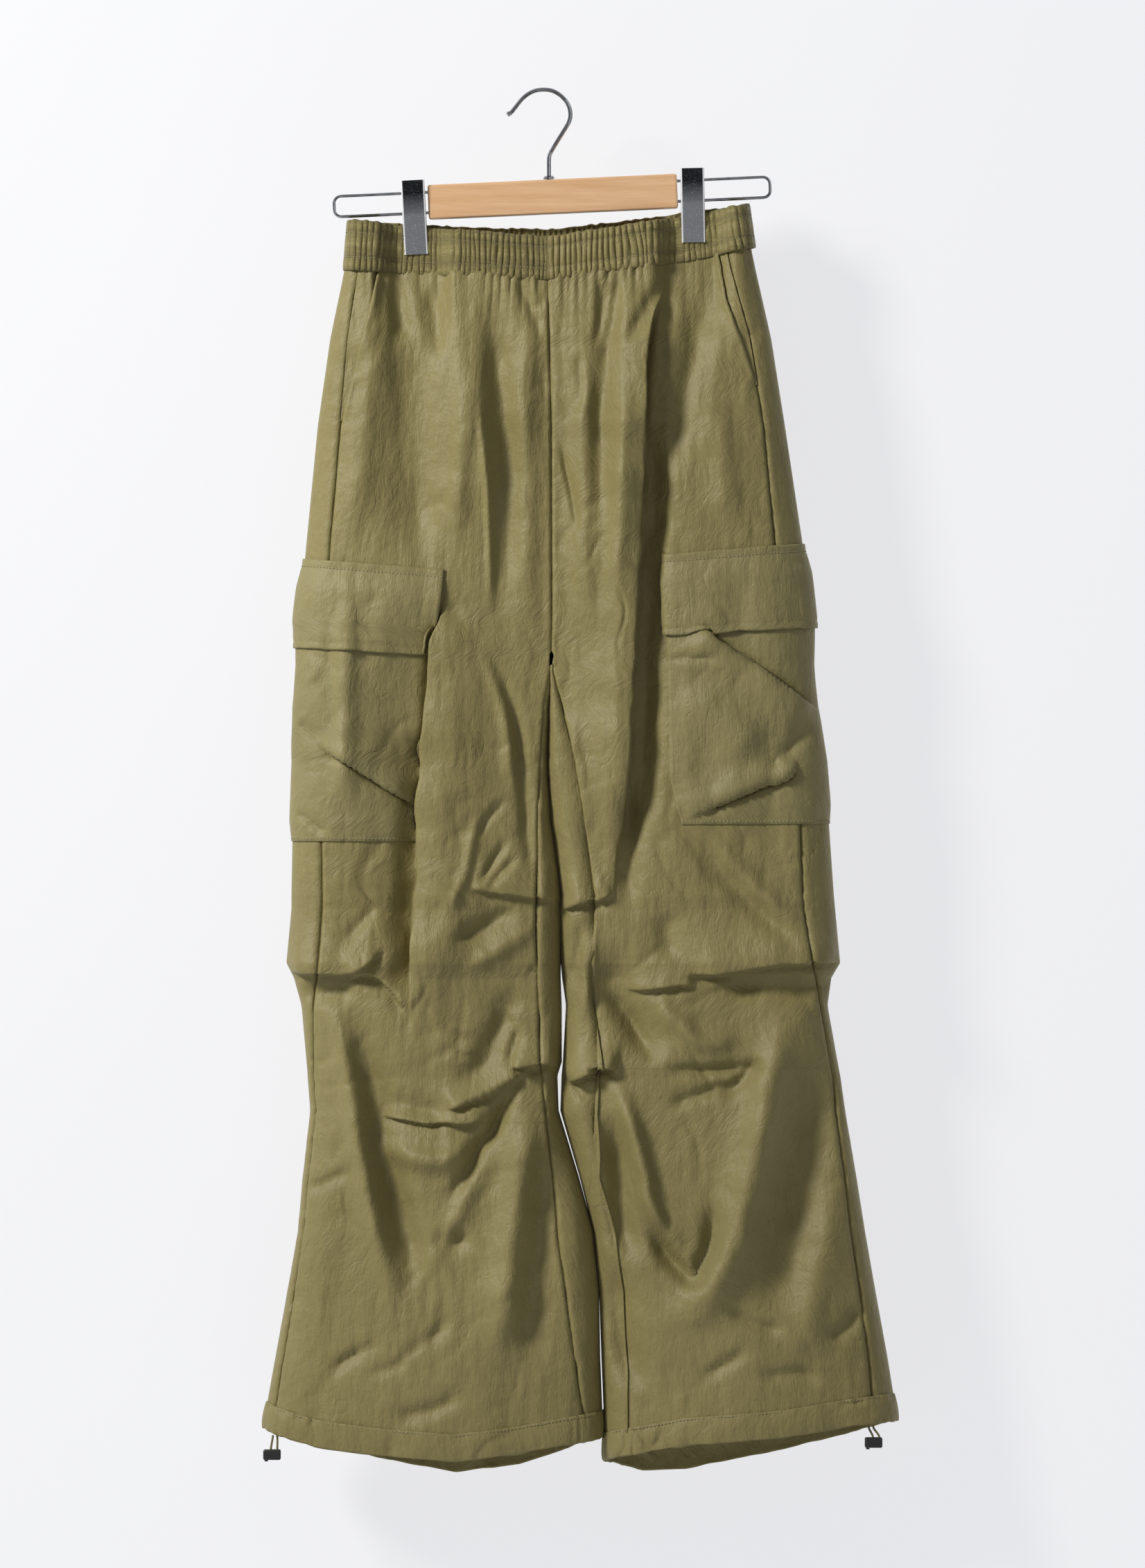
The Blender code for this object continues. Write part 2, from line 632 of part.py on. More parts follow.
# Wire centre of the hook, from the ball round the top and down the shank.
HOOK = [
    (-32.5, -17.4), (-29.2, -15.6), (-26.6, -12.6), (-23.4, -8.4), (-19.4, -3.8), (-14.0, 0.2),
    (-8.6, 2.2), (-2.75, 2.75), (3.4, 1.9), (9.4, -1.2), (14.2, -5.8), (17.2, -11.2),
    (18.2, -17.1), (17.4, -22.2), (14.6, -27.6), (9.0, -36.6), (3.9, -45.0), (1.7, -49.2),
    (1.1, -53.4), (1.1, -60.0),
]
CLIP_TOP = {"right": (-107.7, -70.3), "left": (115.2, -60.6)}
CLIP_LEAN = {"right": math.radians(3.0), "left": math.radians(1.2)}
CLIP_WIDE, CLIP_TALL, CLIP_WALL = 18.8, 59.0, 1.2
# One jaw from its grip end down: distance of its outer face from the middle, and how far its
# folded sides reach in from that face.
JAW = [
    # down, face, sides
    (0, 9.4, 1.4), (2, 9.0, 4.6), (10, 8.8, 5.2), (26, 8.2, 4.6), (33, 7.4, 2.6),
    (40, 6.4, 1.4), (50, 5.2, 1.3), (56, 5.0, 1.3), (59, 6.0, 1.3),
]
PIVOT_DOWN, PIVOT = 19.5, 3.0

# Cord locks below the outer corner of each hem.
CORD = 0.9
CORD_SPREAD = 2.5
LOCK = (14.0, 7.0, 8.2)
LOCK_PLACE = {"right": (-219.2, -1081.0), "left": (259.0, -1070.6)}
CORD_EXIT = {"right": -216.8, "left": 257.3}
SLOT = (8.2, 3.0, 6.4)
SLOT_SHIFT = 1.7
BUTTON, BUTTON_SHIFT = 1.4, -4.55


def sweep(name, path, radii, finish, sides=12, tipped=0.0, about=(0, 0, 0)):
    """A closed round bar along a path, with one radius per point."""
    turn = Matrix.Rotation(-tipped, 3, "Y")
    points = [turn @ (Vector(p) - Vector(about)) + Vector(about) for p in path]
    bm = bmesh.new()
    rings = []
    for k, point in enumerate(points):
        ahead = (points[min(k + 1, len(points) - 1)] - points[max(k - 1, 0)]).normalized()
        across = Vector((0, 1, 0))
        out = across.cross(ahead).normalized()
        ring = []
        for i in range(sides):
            a = i / sides * 2 * math.pi
            place = point + (across * math.cos(a) + out * math.sin(a)) * radii[k]
            ring.append(bm.verts.new(placed(place)))
        rings.append(ring)
    for a, b in zip(rings[:-1], rings[1:]):
        for i in range(sides):
            bm.faces.new((a[i], a[(i + 1) % sides], b[(i + 1) % sides], b[i]))
    bm.faces.new(rings[0][::-1])
    bm.faces.new(rings[-1])
    bmesh.ops.recalc_face_normals(bm, faces=bm.faces)
    mesh = bpy.data.meshes.new(name)
    bm.to_mesh(mesh)
    bm.free()
    return add_object(name, mesh, finish, smooth=True)


def smooth_path(points, steps):
    """A Catmull-Rom curve through the points."""
    run = [2 * points[0] - points[1], *points, 2 * points[-1] - points[-2]]
    made = []
    for a, b, c, d in zip(run[:-3], run[1:-2], run[2:-1], run[3:]):
        for k in range(steps):
            t = k / steps
            made.append(
                0.5 * (2 * b + (c - a) * t + (2 * a - 5 * b + 4 * c - d) * t ** 2
                       + (3 * b - a - 3 * c + d) * t ** 3)
            )
    return [*made, points[-1]]


def hook(finish):
    middle = smooth_path([Vector((x, 0, z)) for x, z in HOOK], 2)
    bar_top = bar_point(1.1, 1)
    middle.append(Vector((1.1, 0, bar_top + 1.0)))
    middle.append(Vector((1.1, 0, bar_top - HOOK_ENTRY)))
    radii = []
    start = middle[0]
    for point in middle:
        along = (point - start).length
        ball = HOOK_BALL ** 2 - (along - HOOK_BALL) ** 2
        radii.append(max(HOOK_WIRE if along > HOOK_BALL else 0.9, math.sqrt(max(ball, 0.0))))
    extra = [start.lerp(middle[1], t) for t in (0.15, 0.4)]
    path = [start, *extra, *middle[1:]]
    radii = [0.9, 1.5, 2.1, *radii[1:]]
    sweep("hanger_hook", path, radii, finish, sides=12)
    collar = lathe("hook_collar", [(HOOK_WIRE + 0.3, 0.4), (4.6, 0.4), (4.6, 1.6), (3.4, 3.0),
                                   (HOOK_WIRE + 0.3, 3.0)], finish, sides=28)
    collar.location = placed((1.1, 0, bar_top))
    collar.rotation_euler.y = -TILT


def lathe(name, profile, finish, sides):
    """A ring turned about Z from a closed profile of radius and height."""
    bm = bmesh.new()
    rings = []
    for i in range(sides):
        a = i / sides * 2 * math.pi
        rings.append([bm.verts.new((math.cos(a) * r * MM, math.sin(a) * r * MM, z * MM))
                      for r, z in profile])
    for i in range(sides):
        a, b = rings[i], rings[(i + 1) % sides]
        for k in range(len(profile)):
            n = (k + 1) % len(profile)
            bm.faces.new((a[k], b[k], b[n], a[n]))
    bmesh.ops.recalc_face_normals(bm, faces=bm.faces)
    mesh = bpy.data.meshes.new(name)
    bm.to_mesh(mesh)
    bm.free()
    return add_object(name, mesh, finish, smooth=True)


def bar_point(x, side):
    """Height of the bar's top (side 1) or underside (side -1) at a place along it."""
    return BAR_MIDDLE[2] + (x - BAR_MIDDLE[0]) * math.tan(TILT) + side * BAR[2] / 2 / math.cos(TILT)


def cutter(name, mesh):
    made = bpy.data.objects.new(name, mesh)
    bpy.context.scene.collection.objects.link(made)
    made.hide_render = True
    made.display_type = "WIRE"
    return made


def rod_mesh(name, radius, length, sides=16):
    bm = bmesh.new()
    bmesh.ops.create_cone(bm, cap_ends=True, segments=sides, radius1=radius * MM,
                          radius2=radius * MM, depth=length * MM)
    mesh = bpy.data.meshes.new(name)
    bm.to_mesh(mesh)
    bm.free()
    return mesh


def box_mesh(name, size, bevel=0.0, segments=2):
    bm = bmesh.new()
    bmesh.ops.create_cube(bm, size=1.0, matrix=Matrix.Diagonal((*(v * MM for v in size), 1.0)))
    if bevel:
        bmesh.ops.bevel(bm, geom=bm.edges[:], offset=bevel * MM, segments=segments, profile=0.5,
                        affect="EDGES", clamp_overlap=True)
    mesh = bpy.data.meshes.new(name)
    bm.to_mesh(mesh)
    bm.free()
    return mesh


def cut(target, tool):
    step = target.modifiers.new("cut", "BOOLEAN")
    step.operation = "DIFFERENCE"
    step.solver = "EXACT"
    step.object = tool


def bar(finish):
    made = add_object("hanger_bar", box_mesh("hanger_bar", BAR, bevel=2.0, segments=3), finish, True)
    made.location = placed(BAR_MIDDLE)
    made.rotation_euler.y = -TILT
    for side in SIGN:
        for lift in (-WIRE_LIFT, WIRE_LIFT):
            bore = cutter("wire_bore", rod_mesh("wire_bore", WIRE + BORE_CLEAR, 2 * WIRE_INSET + 1.0))
            bore.parent = made
            bore.rotation_euler.y = math.pi / 2
            bore.location = (SIGN[side] * BAR[0] / 2 * MM, 0, lift * MM)
            cut(made, bore)
    bore = cutter("hook_bore", rod_mesh("hook_bore", HOOK_WIRE + BORE_CLEAR, 2 * (HOOK_ENTRY + 0.6)))
    bore.location = placed((1.1, 0, bar_point(1.1, 1)))
    cut(made, bore)


def wire_loop(side, finish):
    """A wire bent into a long U that the clip slides along. Both ends sit in the bar."""
    sign = SIGN[side]
    start = BAR_MIDDLE[0] + sign * (BAR[0] / 2 - WIRE_INSET)
    end = BAR_MIDDLE[0] + WIRE_ENDS[side]
    low, high = BAR_MIDDLE[2] - WIRE_LIFT, BAR_MIDDLE[2] + WIRE_LIFT
    bend = 5.5
    path = [Vector((start, 0, high))]
    for k in range(6):
        a = k / 5 * math.pi / 2
        path.append(Vector((end - sign * bend * (1 - math.sin(a)), 0, high - bend * (1 - math.cos(a)))))
    for k in range(6):
        a = k / 5 * math.pi / 2
        path.append(Vector((end - sign * bend * (1 - math.cos(a)), 0, low + bend * (1 - math.sin(a)))))
    path.append(Vector((start, 0, low)))
    sweep(f"hanger_wire_{side}", path, [WIRE] * len(path), finish, tipped=TILT, about=BAR_MIDDLE)


def clip(side, finish):
    """Two folded sheet jaws about a pivot. They close on the waistband between them."""
    top = placed((CLIP_TOP[side][0], 0, CLIP_TOP[side][1]))
    lean = -CLIP_LEAN[side]
    half = CLIP_WIDE / 2
    for facing, name in ((-1, "front"), (1, "back")):
        bm = bmesh.new()
        rings = []
        for down, face, sides in JAW:
            inner = face - CLIP_WALL
            foot = face - max(sides, CLIP_WALL + 0.05)
            section = [
                (-half, foot), (-half, face - 0.5), (-half + 0.5, face), (half - 0.5, face),
                (half, face - 0.5), (half, foot), (half - CLIP_WALL, foot),
                (half - CLIP_WALL, inner), (-half + CLIP_WALL, inner), (-half + CLIP_WALL, foot),
            ]
            rings.append([bm.verts.new((x * MM, facing * y * MM, -down * MM)) for x, y in section])
        for a, b in zip(rings[:-1], rings[1:]):
            for i in range(len(a)):
                n = (i + 1) % len(a)
                bm.faces.new((a[i], a[n], b[n], b[i]))
        bm.faces.new(rings[0])
        bm.faces.new(rings[-1])
        bmesh.ops.recalc_face_normals(bm, faces=bm.faces)
        bmesh.ops.triangulate(bm, faces=bm.faces)
        mesh = bpy.data.meshes.new(name)
        bm.to_mesh(mesh)
        bm.free()
        jaw = add_object(f"clip_{name}_{side}", mesh, finish)
        jaw.location = top
        jaw.rotation_euler.y = lean
    pivot = add_object(f"clip_pivot_{side}", rod_mesh("pivot", PIVOT, CLIP_WIDE - 3.4, 20), finish, True)
    away = Matrix.Rotation(lean, 3, "Y") @ Vector((0, 0, -PIVOT_DOWN * MM))
    pivot.location = top + away
    pivot.rotation_euler.y = math.pi / 2 + lean


def cord_lock(leg, lattice, plastic, cord_finish):
    """The cord's two strands leave the hem's edge and turn back inside the lock."""
    points, _, places = lattice
    x, z = LOCK_PLACE[leg]
    y = hem_depth(leg, lattice, CORD_EXIT[leg])
    body = add_object(f"toggle_{leg}", box_mesh("toggle", LOCK, bevel=1.2), plastic, True)
    body.location = placed((x, y, z - LOCK[2] / 2))
    slot = cutter("cord_slot", box_mesh("cord_slot", (SLOT[0], SLOT[1], 2 * SLOT[2])))
    slot.location = placed((x + SLOT_SHIFT, y, z))
    cut(body, slot)
    socket = cutter("button_socket", rod_mesh("button_socket", BUTTON + BORE_CLEAR, 5.0))
    socket.location = placed((x + BUTTON_SHIFT, y, z - LOCK[2]))
    cut(body, socket)
    button = add_object(f"toggle_button_{leg}", rod_mesh("button", BUTTON, 3.4, 20), plastic, True)
    button.location = placed((x + BUTTON_SHIFT, y, z - LOCK[2] + 2.2 - 1.7))

    edge = float(HEM[leg].at("front", CORD_EXIT[leg]))
    middle, out = x + SLOT_SHIFT, CORD_SPREAD
    turn = z - SLOT[2] + CORD + 0.5 + out
    path = [Vector((CORD_EXIT[leg] - 1.6, y, edge - 1.5)), Vector((CORD_EXIT[leg] - 1.9, y, edge - 3.8))]
    path += [Vector((middle - out, y, z + 1.5)), Vector((middle - out, y, turn + 1.0))]
    for k in range(1, 8):
        a = k / 8 * math.pi
        path.append(Vector((middle - out * math.cos(a), y, turn - out * math.sin(a))))
    path += [Vector((middle + out, y, turn + 1.0)), Vector((middle + out, y, z + 1.5))]
    path += [Vector((CORD_EXIT[leg] + 1.9, y, edge - 3.8)), Vector((CORD_EXIT[leg] + 1.6, y, edge - 1.5))]
    smooth = smooth_path(path, 2)
    curve = bpy.data.curves.new(f"drawcord_{leg}", "CURVE")
    curve.dimensions = "3D"
    line = curve.splines.new("POLY")
    line.points.add(len(smooth) - 1)
    for knot, place in zip(line.points, smooth):
        knot.co = (*placed(place), 1.0)
    curve.bevel_depth = CORD * MM
    curve.bevel_resolution = 2
    curve.use_fill_caps = True
    add_object(f"drawcord_{leg}", curve, cord_finish)


def hem_depth(leg, lattice, x):
    """Depth of the hem's front at a place across it, at the middle of its wall."""
    points, _, places = lattice
    front = places[-1] <= 3.0
    row = points[-1][front]
    order = np.argsort(row[:, 0])
    return float(np.interp(x, row[order, 0], row[order, 1]))


def main():
    for item in list(bpy.data.objects):
        bpy.data.objects.remove(item, do_unlink=True)
    cloth = material("olive cloth", (0.21, 0.18, 0.085), 0.55)
    cord_cloth = material("olive cord", (0.17, 0.15, 0.07), 0.8)
    chrome = material("chrome", (0.75, 0.76, 0.78), 0.12, 1.0)
    wood = material("varnished wood", (0.62, 0.36, 0.18), 0.4)
    plastic = material("black plastic", (0.015, 0.015, 0.016), 0.45)

    waistband(cloth)
    for leg in SIGN:
        lattice = leg_lattice(leg)
        front_panel(leg, lattice, cloth)
        pocket_facing(leg, lattice, cloth)
        back_panel(leg, lattice, cloth)
        cargo_pocket(leg, lattice, cloth)
        hem_casing(leg, lattice, cloth)
        cord_lock(leg, lattice, plastic, cord_cloth)
        clip(leg, chrome)
        wire_loop(leg, chrome)
    bar(wood)
    hook(chrome)


main()
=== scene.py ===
# %% [markdown]
# # Cargo pants on a clip hanger
# The imported model gives the pants' plain solids and the hanger. This lesson puts a fine skin of
# cloth over them. The cloth is one ring for each height of each leg, and every crease is listed
# in a short table, because a few well-placed folds look more like this garment than a simulation
# that has to guess how it was hung.

# %% Load the frame
import math

import bmesh
import bpy
import numpy as np
from mathutils import Matrix, Vector


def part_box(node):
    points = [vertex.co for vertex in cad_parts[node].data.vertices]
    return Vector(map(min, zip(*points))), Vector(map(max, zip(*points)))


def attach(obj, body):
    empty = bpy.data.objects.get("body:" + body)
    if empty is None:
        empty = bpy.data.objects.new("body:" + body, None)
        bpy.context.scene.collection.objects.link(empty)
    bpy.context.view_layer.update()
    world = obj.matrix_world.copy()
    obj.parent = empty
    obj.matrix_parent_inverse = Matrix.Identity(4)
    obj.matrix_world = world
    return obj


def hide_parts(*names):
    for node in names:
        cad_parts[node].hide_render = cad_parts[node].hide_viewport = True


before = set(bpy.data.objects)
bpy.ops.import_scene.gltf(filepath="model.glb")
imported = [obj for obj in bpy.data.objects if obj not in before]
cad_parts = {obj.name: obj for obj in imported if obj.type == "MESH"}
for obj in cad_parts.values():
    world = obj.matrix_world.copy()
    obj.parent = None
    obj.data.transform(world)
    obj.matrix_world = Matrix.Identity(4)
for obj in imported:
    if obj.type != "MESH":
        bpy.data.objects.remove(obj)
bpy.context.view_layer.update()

# %% [markdown]
# ## Units and places
# A tailor's sizes are easiest in millimetres, so the tables are. placed() turns them into metres
# and moves the origin to the place where the rail carries the hook.

# %% Units, tables and noise
HOOK_TOP = np.array([-2.75, 0.0, 1.0])
SIDES = {"right": -1.0, "left": 1.0}


def placed(points):
    return (np.asarray(points, float) - HOOK_TOP) * 0.001


class Table:
    """Rows of numbers with named columns. The first column is what the others follow."""

    def __init__(self, columns, rows):
        self.names = columns.split()
        values = np.array(rows.replace(",", " ").split(), float).reshape(-1, len(self.names))
        self.values = values[np.argsort(values[:, 0])]

    def at(self, name, where):
        return np.interp(where, self.values[:, 0], self.values[:, self.names.index(name)])


def smooth_step(value):
    t = np.clip(value, 0.0, 1.0)
    return t * t * (3.0 - 2.0 * t)


def wander(u, v, seed):
    """Smooth noise from -1 to 1 that changes over about one unit of u and v."""
    table = np.random.default_rng(seed).uniform(-1, 1, (64, 64))
    i, j = np.floor(u).astype(int), np.floor(v).astype(int)
    a, b = smooth_step(u - i), smooth_step(v - j)
    low = table[i % 64, j % 64] * (1 - a) + table[(i + 1) % 64, j % 64] * a
    high = table[i % 64, (j + 1) % 64] * (1 - a) + table[(i + 1) % 64, (j + 1) % 64] * a
    return low * (1 - b) + high * b


# %% [markdown]
# ## Camera, light and background
# The pants hang in front of a pale wall and are seen square on, from far enough away that there
# is little perspective. One soft lamp stands up and well to the left, so folds are lit on their
# left and dark on their right. The wall glows a little, so it stays pale where it is in shade.

# %% Camera
def new_object(name, data):
    made = bpy.data.objects.new(name, data)
    bpy.context.scene.collection.objects.link(made)
    return made


CAMERA_AWAY, VIEW_TALL = 6.0, 1.247
camera = new_object("camera", bpy.data.cameras.new("camera"))
camera.location = (0.0226, -CAMERA_AWAY - 0.02, -0.5524)
camera.rotation_euler = (math.pi / 2, 0, 0)
camera.data.sensor_width = 36.0
camera.data.lens = 18.0 / (VIEW_TALL / 2 / CAMERA_AWAY)
bpy.context.scene.camera = camera
bpy.context.scene.view_settings.view_transform = "Standard"
print("lens", round(camera.data.lens, 1))


# %% Lamps and world
def lamp(name, place, target, size, power, colour=(1, 1, 1)):
    data = bpy.data.lights.new(name, "AREA")
    data.shape, data.size, data.energy, data.color = "DISK", size, power, colour
    made = new_object(name, data)
    made.location = place
    made.rotation_euler = (Vector(target) - Vector(place)).to_track_quat("-Z", "Y").to_euler()
    return made


lamp("key", (-2.1, -1.7, 1.0), (0, 0, -0.45), 0.7, 97, (1.0, 0.985, 0.96))
lamp("fill", (1.2, -2.6, 0.3), (0, 0, -0.3), 1.6, 3.6, (0.95, 0.97, 1.0))
lamp("back_fill", (0.6, 2.4, 0.6), (0, 0, -0.5), 1.6, 30)
world = bpy.data.worlds.new("studio")
bpy.context.scene.world = world
world.use_nodes = True
world.node_tree.nodes["Background"].inputs["Color"].default_value = (0.93, 0.95, 1.0, 1)
world.node_tree.nodes["Background"].inputs["Strength"].default_value = 0.2

# %% [markdown]
# ## Writing materials
# A material is a graph of nodes. Drawing the graph in code is long, so this small class wraps a
# socket and lets Python's own arithmetic add the Math nodes.


# %% Node expressions
class Graph:
    """One material's nodes. node() adds any node, sets it and links its inputs."""

    def __init__(self, name):
        self.material = bpy.data.materials.new(name)
        self.material.use_nodes = True
        self.tree = self.material.node_tree
        self.shader = self.tree.nodes["Principled BSDF"]
        self.output = self.tree.nodes["Material Output"]

    def node(self, kind, settings=(), out=0, **inputs):
        made = self.tree.nodes.new(kind)
        for key, value in dict(settings).items():
            if key == "stops":
                ramp = made.color_ramp.elements
                while len(ramp) < len(value):
                    ramp.new(0.5)
                for stop, (place, colour) in zip(ramp, value):
                    stop.position, stop.color = place, (*colour, 1.0)
            else:
                setattr(made, key, value)
        for key, value in inputs.items():
            index = int(key[1:]) if key[0] == "_" and key[1:].isdigit() else key.replace("_", " ")
            self.link(value, made.inputs[index])
        return Wire(self, made.outputs[out])

    def link(self, value, socket):
        if isinstance(value, Wire):
            self.tree.links.new(value.socket, socket)
        elif isinstance(value, tuple) and len(value) == 3 and socket.type == "RGBA":
            socket.default_value = (*value, 1.0)
        else:
            socket.default_value = value

    def set(self, **inputs):
        for key, value in inputs.items():
            self.link(value, self.shader.inputs[key.replace("_", " ")])

    def noise(self, at, scale, detail=2.0, rough=0.5):
        return self.node("ShaderNodeTexNoise", Vector=at, Scale=scale, Detail=detail,
                         Roughness=rough)

    def stretched(self, at, scale, turn=(0.0, 0.0, 0.0)):
        return self.node("ShaderNodeMapping", Vector=at, Scale=scale, Rotation=turn)

    def mix(self, share, low, high):
        return self.node("ShaderNodeMix", {"data_type": "RGBA"}, out=2, _0=share, _6=low, _7=high)

    def bump(self, height, distance, strength=1.0, under=None):
        more = {} if under is None else {"Normal": under}
        return self.node("ShaderNodeBump", Height=height, Distance=distance, Strength=strength,
                         **more)


class Wire:
    """A value on its way through the graph."""

    def __init__(self, graph, socket):
        self.graph, self.socket = graph, socket

    def math(self, operation, *others):
        values = {f"_{k}": v for k, v in enumerate((self, *others))}
        return self.graph.node("ShaderNodeMath", {"operation": operation}, **values)

    def __add__(self, other):
        return self.math("ADD", other)

    def __sub__(self, other):
        return self.math("SUBTRACT", other)

    def __rsub__(self, other):
        return (self * -1.0).math("ADD", other)

    def __mul__(self, other):
        return self.math("MULTIPLY", other)

    def clamped(self, low, high):
        """0 where the value is low, 1 where it is high, and straight between."""
        return self.graph.node("ShaderNodeMapRange", _0=self, _1=low, _2=high)

    __radd__, __rmul__ = __add__, __mul__


# %% Wall and floor
def pale_surface(name, colour, glow):
    """A matt paint that glows a little. It is clear from behind, so it never hides the pants."""
    graph = Graph(name)
    at = graph.node("ShaderNodeTexCoord", out=3)
    tone = graph.noise(at, 6.0, 3.0)
    graph.set(Base_Color=graph.mix(tone, colour, tuple(c * 0.985 for c in colour)), Roughness=0.9,
              Specular_IOR_Level=0.1, Emission_Color=(0.965, 0.97, 1.0), Emission_Strength=glow)
    behind = graph.node("ShaderNodeNewGeometry", out=6)
    shadow = graph.node("ShaderNodeLightPath", out=1)
    share = behind.math("MAXIMUM", shadow)
    clear = graph.node("ShaderNodeBsdfTransparent")
    solid = Wire(graph, graph.shader.outputs[0])
    shown = graph.node("ShaderNodeMixShader", _0=share, _1=solid, _2=clear)
    graph.link(shown, graph.output.inputs[0])
    return graph.material


def plane(name, size, centre, turn, material):
    bm = bmesh.new()
    bmesh.ops.create_grid(bm, x_segments=1, y_segments=1, size=size / 2,
                          matrix=Matrix.Translation(centre) @ turn)
    mesh = bpy.data.meshes.new(name)
    bm.to_mesh(mesh)
    bm.free()
    made = new_object(name, mesh)
    mesh.materials.append(material)
    return made


plane("wall", 7.0, (0, 0.075, -0.2), Matrix.Rotation(math.pi / 2, 4, "X"),
      pale_surface("wall paint", (0.2, 0.2, 0.2), 0.74))
plane("floor", 7.0, (0, 0, -1.45), Matrix.Identity(4),
      pale_surface("pale floor", (0.36, 0.36, 0.36), 0.2))

# %% [markdown]
# ## The form of a leg
# At each height the leg is one closed ring of cloth. The table gives the ring's two folds, which
# make the outline, and how deep it is. A ring place q says where on the ring a point is: 0 at the
# inner fold, 1 to 2 over the front, 3 at the outer fold, 4 to 5 over the back, then round the
# inner fold again. The same table made the solids, so the cloth lies where they are.

# %% Ring tables
LEG = {
    "right": Table("height outer inner depth belly inner_round outer_round seam_in wrap", """
        -100 -158 0 12 2 0 16 11 0
        -143 -162 0 15 2 0 26 11 0
        -196 -173 1.5 20 3 0 36 14 0
        -266 -183 3 23 4 0 42 18 0
        -359 -192 3.5 25 4 0 44 19 0
        -424 -198 3.5 26 3 0 44 21 0
        -455 -198 3 26 3 0 44 22 0
        -456 -198 2.2 26 3 1 44 22 1
        -490 -201 0 26 4 5 42 22 4
        -534 -201 -1.5 27 5 9 42 22 5
        -582 -203 1 27 6 13 42 23 10
        -640 -204 9 28 6 16 42 25 19
        -651 -204 8.5 27 5 16 42 25 19
        -694 -208 7 28 5 16 42 26 16
        -706 -202 7 25 5 16 36 18 16
        -728 -196 8 25 6 16 34 9 16
        -773 -192 9 26 6 16 34 5 16
        -784 -191 5 25 6 14 34 4 10
        -812 -189 4.5 26 7 14 34 4 8
        -865 -195 20 27 8 20 36 4 17
        -909 -199 31 28 9 26 38 4 25
        -955 -207 35.5 29 9 28 40 5 22
        -1010 -217 36.5 30 9 28 42 6 16
        -1060 -226 38.5 30 9 28 42 7 11
        -1110 -230 39 30 9 28 42 7 11
    """),
    "left": Table("height outer inner depth belly inner_round outer_round seam_in wrap", """
        -100 157 0 12 2 0 16 20 0
        -143 166 0 15 2 0 26 20 0
        -196 178 1.5 20 3 0 36 17 0
        -266 189 3 23 4 0 42 17 0
        -359 203 3.5 25 4 0 44 22 0
        -424 210 3.5 26 3 0 44 22 0
        -455 210 3 26 3 0 44 22 0
        -456 210 3.8 26 3 1 44 22 1
        -490 213 2.2 26 4 5 42 22 10
        -534 220 1.5 27 5 9 42 22 20
        -582 224 4 27 6 14 42 23 25
        -640 228 13 28 6 18 42 25 25
        -651 229 11.5 27 5 18 42 25 26
        -694 233 14 28 5 18 42 22 23
        -706 226 15 25 5 18 36 12 22
        -728 223 18 25 6 18 34 5 20
        -773 231 14.5 26 6 18 34 5 30
        -784 233 14 25 6 18 34 5 28
        -812 237 14.5 26 7 18 34 7 26
        -865 246 30.5 27 8 18 36 9 13
        -909 253 42.5 28 9 20 38 11 13
        -955 261 46.5 29 9 22 40 12 17
        -1010 271 48.5 30 9 24 42 15 17
        -1060 279 50.5 30 9 26 42 19 16
        -1110 281 51 30 9 26 42 19 16
    """),
}
WAIST = Table(
        "x seam top_front top_back",
        "-170 -140 -101 -101, -106 -144 -107 -105, 0 -149 -116 -108, 116 -133 -98 -95, "
        "170 -121 -87 -87")
HEM = {
    "right": Table(
        "x front back",
        "-225 -1064 -1066, -217 -1068 -1070, -184 -1078 -1078, -137 -1084 -1092, "
        "-74 -1089 -1104, -23 -1083 -1097, 15 -1076 -1084, 40 -1072 -1074"),
    "left": Table(
        "x front back",
        "45 -1093 -1096, 60 -1086 -1102, 111 -1076 -1101, 187 -1070 -1086, 244 -1061 -1071, "
        "278 -1058 -1060"),
}
CLIPS = {"right": -105.0, "left": 116.0}
BAND_HALF = {"right": -159.0, "left": 160.0}
CROTCH, HEM_STITCH, HEM_DEEP = -456.0, -1048.0, 22.0
# How far the slanted pocket edge stands from the side seam, from the waist to its lower end.
SLANT = {
    "right": Table("height gap", "-266 0, -220 8, -172 14, -143 16"),
    "left": Table("height gap", "-237 0, -192 8, -165 10, -139 7"),
}
# Where the thigh pleat's edge runs, and the front edge of each thigh pocket.
PLEAT_LINE = {
    "right": Table(
        "height x",
        "-1110 -128, -749 -109, -655 -102, -558 -98, -454 -91, -406 -83, -143 -64"),
    "left": Table(
        "height x",
        "-1110 40, -644 52, -556 58, -500 62, -391 68, -280 73, -203 75, -148 95"),
}
POCKET_EDGE = {
    "right": Table("height x", "-597 -101, -555 -99, -501 -95, -448 -91, -380 -83"),
    "left": Table("height x", "-597 109, -590 109, -573 103, -545 97, -428 95, -362 93"),
}
POCKET_BACK = 74.0
FLAP = {"right": (-372.0, -443.0), "left": (-360.0, -427.0)}
BAG_FOOT = {"right": -597.0, "left": -583.0}
# The bag's mouth lies this far below the flap's top, whose stitches are this far below it.
BAG_BELOW, FLAP_STITCH = 24, 6.0


# How far the soft cloth at each inner fold leans over to the other leg.
INNER_LEAN = Table(
        "height lean",
        "-1110 5.2, -955 5.2, -909 5.6, -865 4.6, -812 4, -773 2, -728 3, -694 3.2, "
        "-640 2.7, -582 2.4, -534 2.2, -480 2, -456.2 1.9, -455.8 0")


